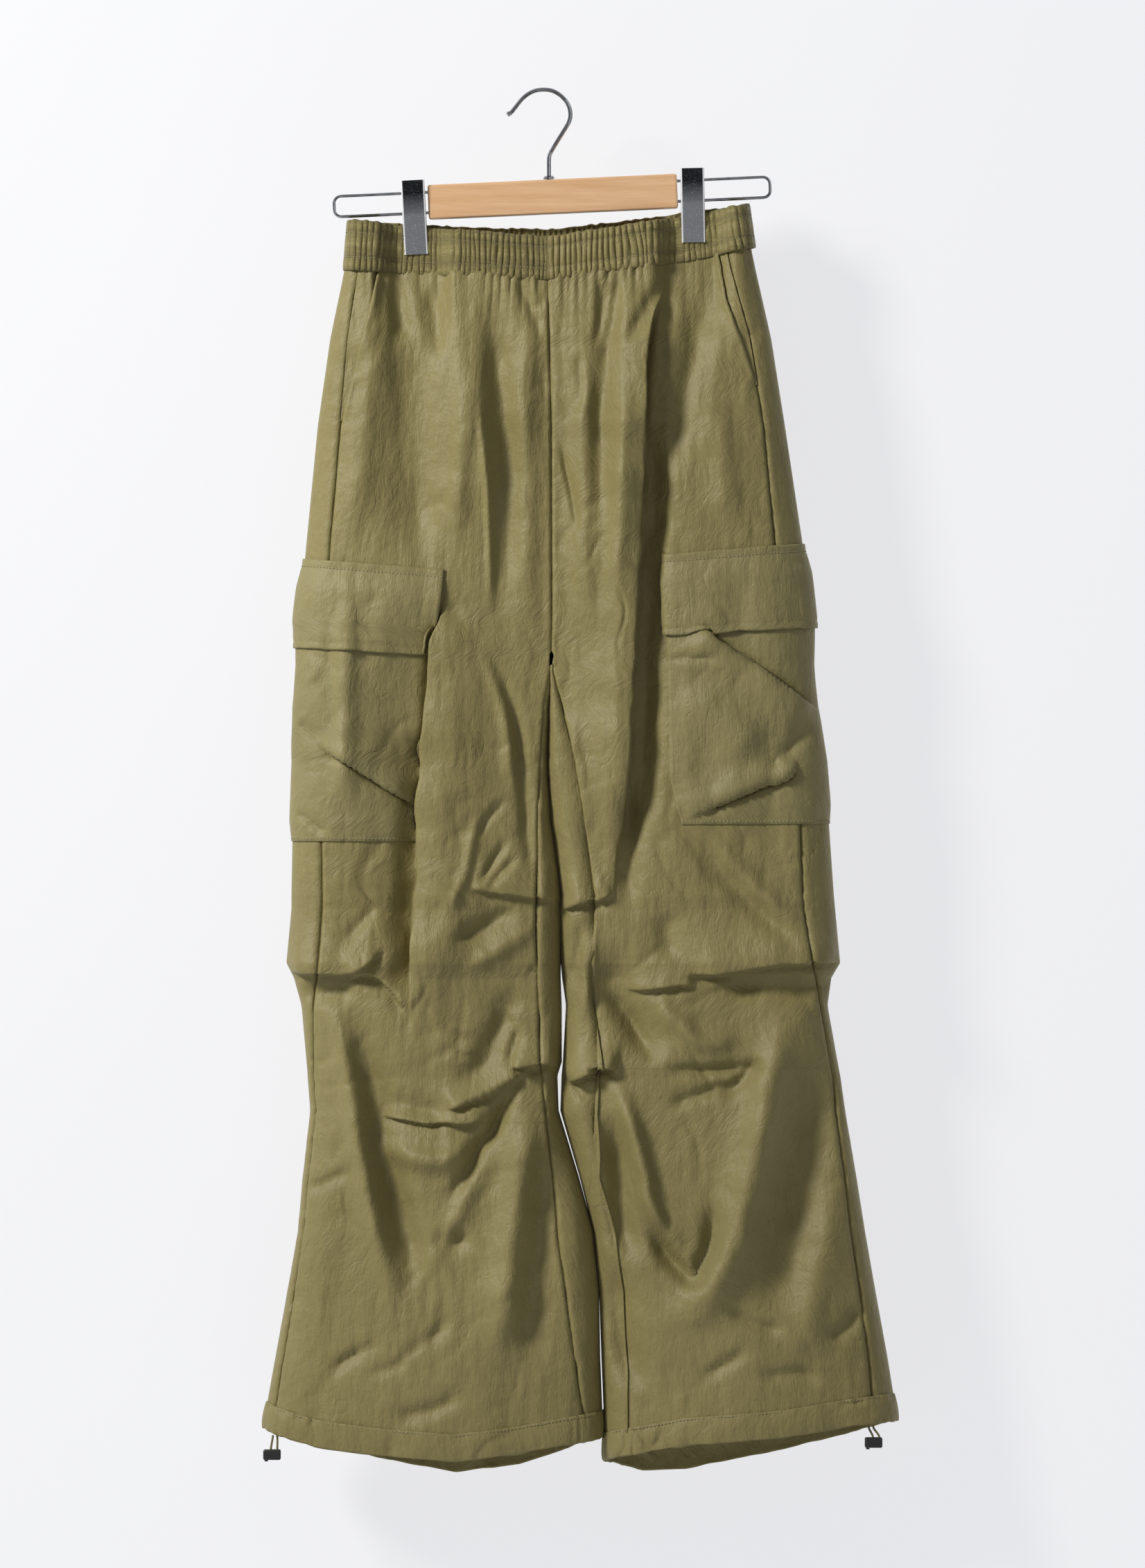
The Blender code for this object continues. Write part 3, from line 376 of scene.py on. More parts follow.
# %% Places on a ring
def pinch(x, height):
    """The clips close the cloth, and less of it further down and to the sides."""
    strength = smooth_step((height + 225.0) / 97.0)
    kept = np.ones(np.broadcast(x, height).shape)
    for centre in CLIPS.values():
        kept = np.minimum(kept, smooth_step((np.abs(x - centre) - 15.0) / 19.0))
    return 1.0 - strength * (1.0 - (0.13 + 0.87 * kept))


def ring_sizes(leg, height):
    table = LEG[leg]
    wide = np.abs(table.at("outer", height) - table.at("inner", height))
    return wide, table.at("inner_round", height), table.at("outer_round", height)


def ring_place(leg, q, height):
    """Distance out from the inner fold, and depth, of a ring place before any crease."""
    wide, near, far = ring_sizes(leg, height)
    depth, belly = LEG[leg].at("depth", height), LEG[leg].at("belly", height)
    share = q - np.floor(q)
    turn = share * math.pi / 2
    swell = depth + belly * np.sin(share * math.pi)
    flat = wide - near - far
    part = np.clip(np.floor(q), 0, 7).astype(int) % 6
    out = np.choose(part, [near * (1 - np.cos(turn)), near + share * flat,
                           wide - far + far * np.sin(turn), wide - far + far * np.cos(turn),
                           wide - far - share * flat, near * (1 - np.sin(turn))])
    y = np.choose(part, [-depth * np.sin(turn), -swell, -depth * np.cos(turn),
                         depth * np.sin(turn), swell, depth * np.cos(turn)])
    return out, y


def front_place(leg, out, height):
    """Ring place of points of the front that lie this far out from the inner fold."""
    wide, near, far = ring_sizes(leg, height)
    inside = 1 - out / np.maximum(near, 1e-6)
    first = np.arccos(np.clip(inside, 0, 1)) / (math.pi / 2)
    flat = 1 + (out - near) / (wide - near - far)
    last = 2 + np.arcsin(np.clip((out - wide + far) / far, 0, 1)) / (math.pi / 2)
    return np.where(out < near, first, np.where(out < wide - far, flat, last))


def back_place(leg, out, height):
    wide, near, far = ring_sizes(leg, height)
    turn = 3 + np.arccos(np.clip((out - wide + far) / far, 0, 1)) / (math.pi / 2)
    return np.where(out > wide - far, turn, 4 + (wide - far - out) / (wide - near - far))


def hem_edge(leg, q, x):
    """The back of the hem hangs lower than the front."""
    back = smooth_step((q - 2.4) / 1.2)
    back = np.where(q > 5.0, np.clip(1 - (q - 5.0) / 1.2, 0, 1), back)
    front_edge = HEM[leg].at("front", x)
    return front_edge + back * (HEM[leg].at("back", x) - front_edge)


def bent_height(leg, q, x, level):
    """Level rows bend to follow the waist seam, the pocket's tilt and the hem."""
    to_waist = smooth_step((level + 240) / 97.0)
    to_hem = smooth_step((-900.0 - level) / (-900.0 - HEM_STITCH))
    tilt = 0.085 * np.interp(level, [-600, -450, -372, -300, -200], [0, 0.6, 1, 0.8, 0])
    run = np.clip(110 - np.abs(np.abs(x - LEG[leg].at("outer", level)) - 110), 0, 110)
    return (level + to_waist * (WAIST.at("seam", x) + 143.0)
            + to_hem * (hem_edge(leg, q, x) + HEM_DEEP - HEM_STITCH) - tilt * run)


# %% [markdown]
# ## Creases
# A crease is a path of a few places on the cloth with a rise and a reach. A trough is pressed in,
# a ridge stands out, and a lip is the edge of a pleat: the cloth swells towards it on one side,
# hangs over it a little, and drops sharply to the other. A lip is high on the side that is to the
# left of somebody who walks along its path, or to the right if its rise is negative. Each one
# wavers and its strength comes and goes.

# %% Crease tables
def crease_rows(text):
    """One crease a line: kind, rise and reach | x,z of the places on its path | what it is."""
    rows = []
    for line in text.strip().splitlines():
        shape, path, _ = line.split("|")
        kind, rise, reach = shape.split()
        places = [tuple(float(v) for v in place.split(",")) for place in path.split()]
        rows.append((kind, float(rise), float(reach), places))
    return rows


FRONT_CREASES = {
    "right": crease_rows("""
    lip 17 34 | -82,-406 -91,-454 -98,-558 -102,-655 -109,-749 | pleat lip
    trough 9 10 | -102,-479 -107,-561 -111,-633 -114,-699 -119,-743 | hollow by pleat
    ridge 7 12 | -138,-148 -138,-203 -144,-258 -151,-314 -160,-369 | waist ridge
    trough 5 8 | -120,-145 -118,-170 -115,-203 | waist trough
    trough 5 6 | -92,-148 -89,-189 -85,-220 | waist nick
    trough 11 20 | -106,-165 -105,-214 -106,-270 -105,-329 -102,-368 -98,-396 | thigh trough
    ridge 7 10 | -64,-203 -66,-270 -70,-314 -77,-368 | thigh ridge
    trough 10 12 | -46,-140 -41,-196 -32,-285 -30,-368 -33,-440 | broad trough
    ridge 4 9 | -55,-192 -51,-258 -47,-347 | broad ridge
    ridge 3.5 3 | -55,-240 -49,-300 -46,-369 -47,-424 | thin ridge
    ridge 5.5 11 | -19,-170 -20,-302 -21,-369 -18,-451 | centre ridge
    trough 4 5 | -25,-145 -14,-170 -4,-201 | waist crease a
    ridge 4 5 | -55,-440 -37,-484 -30,-528 -28,-572 | long crease ridge
    trough 5.5 5 | -47,-443 -29,-490 -21,-528 -19,-567 -14,-611 -11,-639 | long crease
    trough 14 30 | -93,-391 -101,-457 -107,-512 -110,-589 -115,-661 -120,-727 | pocket hollow
    ridge 6 8 | -158,-396 -160,-457 -161,-512 -159,-584 | pocket edge fold
    lip 7 20 | -181,-517 -161,-530 -122,-554 -98,-572 | pocket pleat
    trough 4 4 | -199,-571 -187,-581 -173,-592 | pocket crease
    trough 4 5 | -199,-501 -185,-512 -181,-518 | pocket crease b
    ridge 3 4 | -193,-449 -185,-460 -187,-473 | pocket crease c
    lip 7.5 26 | -210,-699 -179,-701 -155,-699 -127,-681 | outseam tuck
    trough 6 9 | -201,-712 -176,-715 -149,-711 | under outseam tuck
    ridge 6 16 | -157,-669 -135,-669 -116,-699 | knee bulge
    lip 5 12 | -157,-707 -143,-702 -127,-710 -109,-733 | knee crease r
    trough 3.5 5 | -135,-644 -154,-669 -171,-680 | knee small crease
    lip 6 20 | -62,-633 -34,-638 -11,-640 12,-642 | inseam tuck
    ridge 3.2 4.5 | -51,-567 -60,-597 -67,-628 -83,-661 | tuck fan a
    trough 3.6 3.5 | -29,-593 -50,-623 -57,-637 | tuck crease a
    trough 3.6 3.5 | -22,-608 -41,-626 -50,-633 | tuck crease b
    trough 3 3.5 | -30,-561 -47,-578 -56,-597 | tuck crease c
    trough 6 7 | -21,-651 -47,-663 -68,-673 -78,-669 | under tuck a
    ridge 5 7 | -7,-661 -39,-684 -67,-699 | under tuck ridge
    trough 6 9 | -22,-710 -39,-744 -51,-771 -74,-793 | under tuck b
    ridge 2.6 2.4 | -98,-727 -83,-742 -55,-750 | knee white crease
    ridge 2.4 2.4 | -91,-749 -72,-761 -55,-765 | knee white crease b
    ridge 2.2 2.2 | -43,-727 -26,-735 -18,-743 | knee white crease c
    lip 6 14 | -29,-775 -7,-772 9,-771 | low tuck
    trough 4 4 | -23,-743 -26,-760 -29,-774 | low tuck crease
    lip 5 9 | -80,-811 -50,-798 -29,-786 -15,-777 | low tuck ridge
    trough 6.5 9 | -135,-803 -105,-809 -72,-816 | cross hollow
    lip 4.5 16 | -132,-815 -83,-820 -41,-815 | cross crease
    ridge 6 9 | -146,-831 -99,-849 -51,-840 | cross ridge
    trough 7 6 | -21,-781 -42,-823 -54,-840 -67,-865 -83,-889 | shin border
    ridge 3.2 7 | -50,-847 -69,-888 -86,-920 -111,-957 | shin slant
    ridge 11 15 | -7,-787 -21,-865 -29,-947 -37,-1022 | shin fold
    trough 6 12 | 1,-831 -7,-898 -14,-964 -11,-1024 | inner shade
    ridge 9 10 | -175,-707 -160,-771 -148,-842 -133,-914 -118,-977 | calf ridge
    trough 9 13 | -154,-727 -141,-793 -127,-859 -110,-920 -98,-975 | calf trough
    trough 5 9 | -63,-903 -77,-914 -93,-909 | calf mid crease
    trough 4 5 | -74,-969 -94,-991 -121,-1011 -146,-1022 | low calf crease a
    trough 3.5 6 | -63,-1029 -88,-1046 -127,-1055 | low calf crease b
    ridge 3 5 | -83,-977 -105,-1002 -135,-1016 | low calf crease c
    trough 2.6 4 | -193,-876 -171,-865 -152,-859 | outer crease a
    trough 2.6 4 | -176,-1019 -149,-1002 -127,-994 | outer crease b
    """),
    "left": crease_rows("""
    lip -17 30 | 95,-148 75,-203 73,-280 68,-391 62,-500 58,-556 52,-644 | pleat lip
    trough 15 12 | 95,-187 85,-280 80,-391 76,-501 65,-639 | pleat hollow
    trough 8 10 | 130,-140 116,-211 107,-255 98,-314 | side trough
    trough 7 8 | 52,-154 45,-226 43,-270 45,-347 | waist trough
    trough 6 6 | 94,-151 77,-176 63,-206 | waist slant
    trough 5 4 | 43,-145 43,-170 37,-209 | waist crease a
    trough 4.5 5 | 57,-143 53,-170 50,-203 | waist crease b
    trough 3.5 4 | 25,-203 26,-236 23,-258 | waist crease c
    trough 3.6 3 | 7,-270 17,-310 26,-358 | centre crease
    ridge 6 9 | 29,-165 28,-258 30,-380 33,-446 | centre ridge
    ridge 5 7 | 62,-214 58,-314 52,-424 | crest ridge
    ridge 4.5 12 | 132,-236 138,-291 143,-352 | outer ridge
    lip -8 22 | 121,-425 136,-441 180,-472 219,-499 | pocket pleat
    ridge 7 18 | 110,-471 143,-506 171,-531 | pocket bulge
    trough 4 7 | 212,-502 187,-530 168,-545 | pocket soft crease
    lip -6 16 | 199,-533 186,-545 148,-559 107,-579 | pocket low pleat
    trough 3 4 | 96,-449 116,-451 141,-450 | pocket top crease
    trough 2.6 3 | 141,-570 127,-567 116,-574 | pocket small crease
    trough 5 8 | 109,-584 138,-620 160,-644 205,-689 | below pocket
    ridge 4 7 | 121,-584 149,-617 171,-639 212,-680 | below pocket ridge
    lip -8 26 | 238,-693 212,-691 170,-695 107,-704 | outseam tuck
    lip -4.5 12 | 118,-709 84,-714 61,-716 | second tuck
    trough 6.5 10 | 226,-709 198,-714 165,-712 127,-716 | under outseam tuck
    trough 5 9 | 96,-650 95,-672 98,-694 | thigh hollow
    lip 6.5 18 | 10,-650 38,-643 55,-636 | inseam tuck
    trough 6 6 | 29,-655 25,-683 18,-716 | under inseam tuck
    ridge 5 5 | 36,-658 32,-699 31,-743 | under inseam ridge
    lip 8 14 | 15,-787 40,-776 57,-779 | low tuck
    trough 4 5 | 21,-785 29,-796 37,-794 | low tuck crease
    trough 9 14 | 56,-672 56,-716 74,-746 95,-774 | knee hollow
    trough 5 6 | 41,-709 61,-733 88,-776 | knee border
    trough 5 5 | 91,-779 130,-778 170,-773 | knee crease a
    trough 6 6 | 134,-800 159,-783 169,-765 | knee crease b
    trough 3.6 5 | 91,-809 121,-798 149,-787 | knee crease c
    ridge 5 8 | 80,-721 121,-754 160,-754 | knee ridge
    ridge 12 15 | 203,-713 180,-776 164,-853 148,-914 126,-957 98,-975 74,-969 | calf highlight
    trough 9 7 | 77,-884 90,-917 107,-937 118,-943 127,-920 133,-876 | apex crease
    ridge 9 7 | 52,-781 65,-818 80,-876 88,-899 107,-922 | shin ridge
    trough 10 10 | 50,-809 57,-853 61,-903 74,-936 | shin trough
    trough 11 11 | 54,-920 56,-958 61,-1002 74,-1038 | inseam hollow
    trough 9 18 | 218,-754 208,-837 193,-920 168,-980 | calf hollow
    ridge 5 14 | 220,-865 215,-947 198,-1019 | calf low ridge
    trough 3.5 5 | 138,-964 165,-980 193,-988 | low crease a
    trough 3.5 5 | 121,-1024 143,-1011 160,-997 | low crease b
    trough 3.5 5 | 220,-1027 198,-1019 165,-1022 | low crease c
    trough 4 6 | 249,-964 240,-980 223,-997 | low crease d
    trough 8 9 | 67,-534 64,-589 62,-661 | knee inner hollow
    ridge 4 6 | 18,-490 25,-545 32,-600 | gusset ridge
    """),
}
BACK_CREASES = {
    "right": crease_rows("""
    trough 5 12 | -96,-158 -104,-260 -112,-372 | seat trough
    ridge 5 12 | -44,-160 -50,-270 -60,-430 | seat ridge
    trough 4 9 | -8,-440 -60,-400 -110,-386 | seat drag
    trough 4 10 | -14,-500 -70,-545 -120,-600 | thigh drag
    ridge 5 12 | -60,-470 -84,-560 -92,-650 | thigh ridge
    lip 5 22 | -186,-700 -130,-702 -60,-684 | knee fold
    lip 4 16 | -20,-770 -80,-782 -130,-800 | knee fold low
    ridge 4 8 | -40,-655 -90,-690 -150,-735 | knee slant
    ridge 6 14 | -60,-800 -70,-900 -64,-1040 | calf ridge
    trough 5 12 | -110,-810 -126,-900 -140,-1040 | calf trough
    ridge 4 9 | -12,-800 -4,-900 6,-1040 | inner ridge
    """),
    "left": crease_rows("""
    trough 5 12 | 112,-140 120,-260 126,-380 | seat trough
    ridge 5 12 | 44,-160 56,-270 64,-430 | seat ridge
    trough 4 9 | 14,-440 66,-396 118,-380 | seat drag
    trough 4 10 | 20,-500 80,-550 136,-600 | thigh drag
    ridge 5 12 | 66,-470 96,-560 104,-650 | thigh ridge
    lip -5 22 | 216,-700 150,-704 80,-690 | knee fold
    lip -4 16 | 150,-800 90,-784 30,-772 | knee fold low
    ridge 4 8 | 60,-655 120,-690 180,-735 | knee slant
    ridge 6 14 | 110,-800 130,-900 136,-1040 | calf ridge
    trough 5 12 | 160,-810 186,-900 206,-1040 | calf trough
    ridge 4 9 | 60,-830 82,-920 94,-1040 | inner ridge
    """),
}


# %% Crease shapes
def smooth_path(path, steps=6):
    """A Catmull-Rom curve through a path's places."""
    p = np.array(path, float)
    p = np.vstack([2 * p[0] - p[1], p, 2 * p[-1] - p[-2]])
    made = []
    for a, b, c, d in zip(p[:-3], p[1:-2], p[2:-1], p[3:]):
        for t in np.arange(steps) / steps:
            made.append(0.5 * (2 * b + (c - a) * t + (2 * a - 5 * b + 4 * c - d) * t ** 2
                               + (3 * b - a - 3 * c + d) * t ** 3))
    return np.array([*made, p[-2]])


def beside_path(x, z, path):
    """Distance from a path (positive to its left), share of the way along it, and its normal."""
    line = smooth_path(path)
    steps = np.diff(line, axis=0)
    lengths = np.linalg.norm(steps, axis=1)
    start = np.concatenate([[0], np.cumsum(lengths)])
    best = np.full(x.shape, 1e9)
    side, along = np.ones(x.shape), np.zeros(x.shape)
    nx, nz = np.zeros(x.shape), np.ones(x.shape)
    for k, ((ax, az), (dx, dz), long) in enumerate(zip(line, steps, lengths)):
        t = np.clip(((x - ax) * dx + (z - az) * dz) / long ** 2, 0, 1)
        gap = np.hypot(x - ax - t * dx, z - az - t * dz)
        near = gap < best
        best = np.where(near, gap, best)
        side = np.where(near, np.sign(dx * (z - az) - dz * (x - ax) + 1e-9), side)
        along = np.where(near, start[k] + t * long, along)
        nx, nz = np.where(near, -dz / long, nx), np.where(near, dx / long, nz)
    return best * side, along / start[-1], along, nx, nz


# Shares of a lip's height: how far it hangs over, and how far the cloth sinks at its foot.
LIP_HANG, LIP_FOOT = 0.3, 0.3
# Creases are deeper towards the hems: how much, from what height, and over how far.
LOWER_MORE, LOWER_FROM, LOWER_OVER = 0.4, -620, 200


def crease_field(x, z, creases):
    """Sum of all creases at each place: how far out, and how far along x and z it is drawn."""
    rise_sum, x_sum, z_sum = np.zeros(x.shape), np.zeros(x.shape), np.zeros(x.shape)
    for number, (kind, rise, reach, path) in enumerate(creases):
        p = np.array(path, float)
        pad = 3 * reach + 12
        box = ((x > p[:, 0].min() - pad) & (x < p[:, 0].max() + pad)
               & (z > p[:, 1].min() - pad) & (z < p[:, 1].max() + pad))
        if not box.any():
            continue
        bx, bz = x[box], z[box]
        gap, share, along, nx, nz = beside_path(bx, bz, path)
        gap = gap + 1.3 * wander(along / 17, number + 0 * along, 5) * smooth_step(reach / 8)
        lift = 1 + 0.22 * wander(along / 23, number + 0.5 + 0 * along, 6)
        if kind == "lip":
            sign, high = math.copysign(1, rise), abs(rise)
            s = gap * sign
            ends = smooth_step(share / 0.12) * smooth_step((1 - share) / 0.22)
            edge = smooth_step((s + 1.6) / 2.2)
            swell = np.exp(-((np.maximum(s, 0) / reach) ** 2)) * edge
            foot = np.exp(-(((s + 3.5) / 4.5) ** 2)) * (1 - edge)
            value = high * swell - LIP_FOOT * high * foot
            hang = (-LIP_HANG * high * sign * np.exp(-((np.maximum(s, 0) / 5.0) ** 2)) * edge
                    * ends * lift)
            x_sum[box] += hang * nx
            z_sum[box] += hang * nz
        else:
            ends = smooth_step(share / 0.3) * smooth_step((1 - share) / 0.3)
            bell = np.exp(-((gap / reach) ** 2))
            value = rise * bell * (1 if kind == "ridge" else -1)
        lower = 1 + LOWER_MORE * smooth_step((LOWER_FROM - bz) / LOWER_OVER)
        rise_sum[box] += value * ends * lift * lower
    return rise_sum, x_sum, z_sum


def thin_lines(line, patch):
    """1 along thin wandering lines, where line crosses zero, but only in patches."""
    return np.exp(-((line / 0.13) ** 2)) * smooth_step(patch * 1.6)


def crumple(leg, q, x, z):
    """Small crinkles all over, and gathers that fan out below the waistband."""
    around = np.where(q < 3, x, x + 37.0) + (0 if leg == "right" else 400)
    drift = 5.0 * wander(around / 60, z / 90, 21)
    made = 0.5 * wander((around + drift) / 8.0, z / 40, 22)
    made += 0.28 * wander((around + drift) / 3.6, z / 17, 23)
    made += 1.3 * wander((around - drift) / 24, z / 60, 24)
    slant = (around * 0.8 + z * 0.6) / 30 + 0.7 * wander(around / 45, z / 45, 28)
    made -= 1.5 * thin_lines(wander(slant, (z - around) / 80, 29), wander(around / 34, z / 30, 30))
    slant = (around * 0.7 - z * 0.7) / 34 + 0.7 * wander(around / 50, z / 40, 31)
    made -= 1.3 * thin_lines(wander(slant, (z + around) / 90, 32), wander(around / 40, z / 33, 33))
    below = WAIST.at("seam", x) - z
    strong = np.exp(-below / 22) * (0.75 + 0.6 * wander(around / 31, z / 400, 25))
    long = np.exp(-below / 50) * (0.5 + 0.6 * wander(around / 43, z / 400, 26))
    phase = around + 4.5 * wander(around / 17, below / 70, 27)
    made += 2.8 * strong * (np.abs(np.sin(phase * math.pi / 7.6)) ** 0.6 - 0.68)
    made += 1.9 * long * np.sin((phase + 0.8 * drift) * 2 * math.pi / 19.0)
    return made


def cloth_point(leg, q, height):
    """Points of a leg's cloth, in millimetres."""
    q, height = np.broadcast_arrays(np.asarray(q, float), np.asarray(height, float))
    out, y = ring_place(leg, q, height)
    leaning = INNER_LEAN.at("lean", height) * np.exp(-out / 16)
    x = LEG[leg].at("inner", height) + SIDES[leg] * (out - leaning)
    y = y * pinch(x, height)
    depth = 0.6 * LEG[leg].at("depth", height)
    front, back = np.clip(-y / depth, 0, 1), np.clip(y / depth, 0, 1)
    z = height.copy()
    seam_fade = np.where(height > CROTCH, smooth_step(np.abs(x - 3) / 14), 1.0)
    for share, creases, facing in ((front, FRONT_CREASES, -1), (back, BACK_CREASES, 1)):
        rise, dx, dz = crease_field(x, z, creases[leg])
        share = share * seam_fade
        y = y + facing * share * rise
        x, z = x + share * dx, z + share * dz
    wave = crumple(leg, q, x, z) * np.clip((front + back) * 1.2, 0, 1)
    wave = wave * np.where(height > CROTCH, smooth_step(np.abs(x - 3) / 6), 1.0)
    y = y + np.where(y < 0, -1, 1) * wave
    return np.stack([x, y, z], axis=-1)


# %% [markdown]
# ## Sheets of cloth
# Each panel starts as a plain grid, and every vertex then moves to its place on the leg. That
# keeps clean rows for the pattern of the cloth, which follows a UV map in metres. A Solidify
# modifier gives the sheet its thickness, so its edges show at hems and pocket mouths.


# %% Sheet helper
def run_across(points):
    """How far each point of a grid lies from the start of its row, along the cloth."""
    steps = np.linalg.norm(np.diff(points, axis=1), axis=-1)
    return np.concatenate([np.zeros((len(points), 1)), np.cumsum(steps, axis=1)], axis=1)


def outward(points, leg_sign):
    """Smoothed outward normals of a grid of points."""
    side, down = np.gradient(points, axis=1), np.gradient(points, axis=0)
    for _ in range(2):
        side[1:-1] = (side[:-2] + side[1:-1] + side[2:]) / 3
        down[:, 1:-1] = (down[:, :-2] + down[:, 1:-1] + down[:, 2:]) / 3
    normal = np.cross(down, side) * leg_sign
    return normal / np.maximum(np.linalg.norm(normal, axis=-1, keepdims=True), 1e-9)


def sheet(name, points, material, thick, ring=False, missing=None, flip=None, uv_zero=0):
    """A grid of points, rows by columns in millimetres, as a thin shell of cloth."""
    rows, columns = points.shape[:2]
    bm = bmesh.new()
    bmesh.ops.create_grid(bm, x_segments=columns - 1, y_segments=rows - 1, size=0.5)
    mesh = bpy.data.meshes.new(name)
    bm.to_mesh(mesh)
    flat = np.empty(len(mesh.vertices) * 3)
    mesh.vertices.foreach_get("co", flat)
    flat = flat.reshape(-1, 3)
    i = np.rint((flat[:, 0] + 0.5) * (columns - 1)).astype(int)
    j = np.rint((flat[:, 1] + 0.5) * (rows - 1)).astype(int)
    mesh.vertices.foreach_set("co", placed(points[j, i]).ravel())
    around = run_across(points)
    around = around - around[:, uv_zero:uv_zero + 1]
    uv = np.stack([around[j, i] * 0.001 + len(name) * 0.1, points[j, i, 2] * 0.001], axis=-1)
    corner = np.empty(len(mesh.loops), int)
    mesh.loops.foreach_get("vertex_index", corner)
    mesh.uv_layers.new(name="cloth").data.foreach_set("uv", uv[corner].ravel())
    mesh.update()
    if flip:
        mesh.flip_normals()
    if missing is not None or ring:
        bm.clear()
        bm.from_mesh(mesh)
        bm.verts.ensure_lookup_table()
        if missing is not None:
            gone = [f for f in bm.faces
                    if missing[min(j[v.index] for v in f.verts), min(i[v.index] for v in f.verts)]]
            bmesh.ops.delete(bm, geom=gone, context="FACES")
        if ring:
            bmesh.ops.remove_doubles(bm, verts=bm.verts[:], dist=0.00002)
        bm.to_mesh(mesh)
    bm.free()
    mesh.shade_smooth()
    made = new_object(name, mesh)
    mesh.materials.append(material)
    wall = made.modifiers.new("thickness", "SOLIDIFY")
    wall.thickness, wall.offset = thick * 0.001, 0.0
    wall.use_even_offset = False
    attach(made, "root")
    return made


def levels(top, foot, step, fine=()):
    """Row heights from top to foot, closer together near the fine places."""
    z = np.linspace(top, foot, 4000)
    density = np.ones_like(z)
    for place in fine:
        density += 2.2 * np.exp(-(((z - place) / 9.0) ** 2))
    run = np.concatenate([[0], np.cumsum((density[1:] + density[:-1]) / 2 * -np.diff(z))])
    count = int(run[-1] / step)
    rows = np.interp(np.linspace(0, run[-1], count + 1), run, z)
    if top > CROTCH > foot:
        rows = np.sort(np.append(rows, [CROTCH + 0.2, CROTCH - 1.2]))[::-1]
    return rows


def settle(leg, q_of, rows):
    """Bends level rows: q and the bent height of every point, for q_of(height) per row."""
    level = np.repeat(rows[:, None], q_of(rows[:1, None]).shape[1], axis=1)
    height = level
    for _ in range(4):
        q = q_of(height)
        out, _ = ring_place(leg, q, height)
        x = LEG[leg].at("inner", height) + SIDES[leg] * out
        height = bent_height(leg, q, x, level)
    return q_of(height), height


def spread(height, stops, counts):
    """Columns between stops, each an array over the heights, with a count for each gap."""
    parts, first = [], 0
    for a, b, n in zip(stops[:-1], stops[1:], counts):
        own = slice(None) if height.shape[1] == 1 else slice(first, first + n)
        parts.append(a[:, own] + (b - a)[:, own] * (np.arange(n) / n))
        first += n
    return np.concatenate([*parts, (stops[-1] + 0 * height)[:, -1:]], axis=1)


def seam_dent(points, normals, edges, ripple_seed):
    """Presses the cloth in along sewn edges, where it also puckers."""
    run = run_across(points)
    made = points.copy()
    for edge in edges:
        away = run if edge == "start" else run[:, -1:] - run
        z = points[..., 2]
        pucker = wander(z / 5.2, 0 * z + 3, ripple_seed) * np.exp(-away / 7)
        dent = 2.1 * np.exp(-((away / 1.2) ** 2)) - 0.75 * pucker * (1 - np.exp(-away / 1.5))
        made -= normals * dent[..., None]
    return made

# %% [markdown]
# ## The cloth's finish
# Light nylon and cotton with a soft satin shine. It is covered in fine creases that run down the
# cloth, so the height noise is stretched along it. The UV map is in metres, so the creases turn
# with the cloth round the folds, and a much finer grid gives the weave.


# %% Wrinkle lines
def wrinkle_lines(graph, uv, scale, turn):
    """Thin broken lines, where a slow noise crosses its middle value."""
    slow = graph.noise(graph.stretched(uv, scale, (0, 0, turn)), 1.0, 2.0, 0.45)
    line = 1.0 - (slow + -0.5).math("ABSOLUTE", 0).clamped(0.0, 0.022)
    where = graph.noise(graph.stretched(uv, (19.0, 15.0, 1.0), (0, 0, -turn)), 1.0, 1.0)
    return line * where.clamped(0.5, 0.66)


# %% Cloth material
def cloth_material(name, light, dark):
    graph = Graph(name)
    uv = graph.node("ShaderNodeUVMap", {"uv_map": "cloth"})
    at = graph.node("ShaderNodeTexCoord", out=3)
    fine = graph.noise(graph.stretched(uv, (900.0, 75.0, 1.0)), 1.0, 3.0, 0.6)
    medium = graph.noise(graph.stretched(uv, (260.0, 60.0, 1.0)), 1.0, 3.0, 0.55)
    crossed = graph.noise(graph.stretched(uv, (90.0, 90.0, 1.0)), 1.0, 3.0, 0.6)
    rumple = graph.noise(graph.stretched(uv, (38.0, 26.0, 1.0)), 1.0, 4.0, 0.62)
    broad = graph.noise(at, 9.0, 2.0)
    nicks = (wrinkle_lines(graph, uv, (34.0, 22.0, 1.0), 0.5)
             + wrinkle_lines(graph, uv, (60.0, 30.0, 1.0), -0.7))
    thread = graph.node("ShaderNodeTexWave", {"wave_type": "BANDS", "bands_direction": "X"},
                        Vector=uv, Scale=330.0, Distortion=0.6)
    across = graph.node("ShaderNodeTexWave", {"wave_type": "BANDS", "bands_direction": "Y"},
                        Vector=uv, Scale=300.0, Distortion=0.6)
    weave = thread * 0.5 + across * 0.5
    tone = fine * 0.2 + medium * 0.15 + crossed * 0.2 + broad * 0.4 + weave * 0.05
    colour = graph.mix(tone.clamped(0.36, 0.64), dark, light)
    height = fine * 0.45 + medium * 0.8 + crossed * 1.5 + rumple * 2.2 + nicks * -0.3
    lumps = graph.bump(height, 0.0011, 0.7)
    threads = graph.bump(weave, 0.00006, 0.5, under=lumps)
    graph.set(Base_Color=colour, Roughness=fine * 0.16 + 0.42, Normal=threads,
              Specular_IOR_Level=0.3, Sheen_Weight=0.08, Sheen_Roughness=0.4,
              Sheen_Tint=(0.93, 0.9, 0.72))
    return graph.material


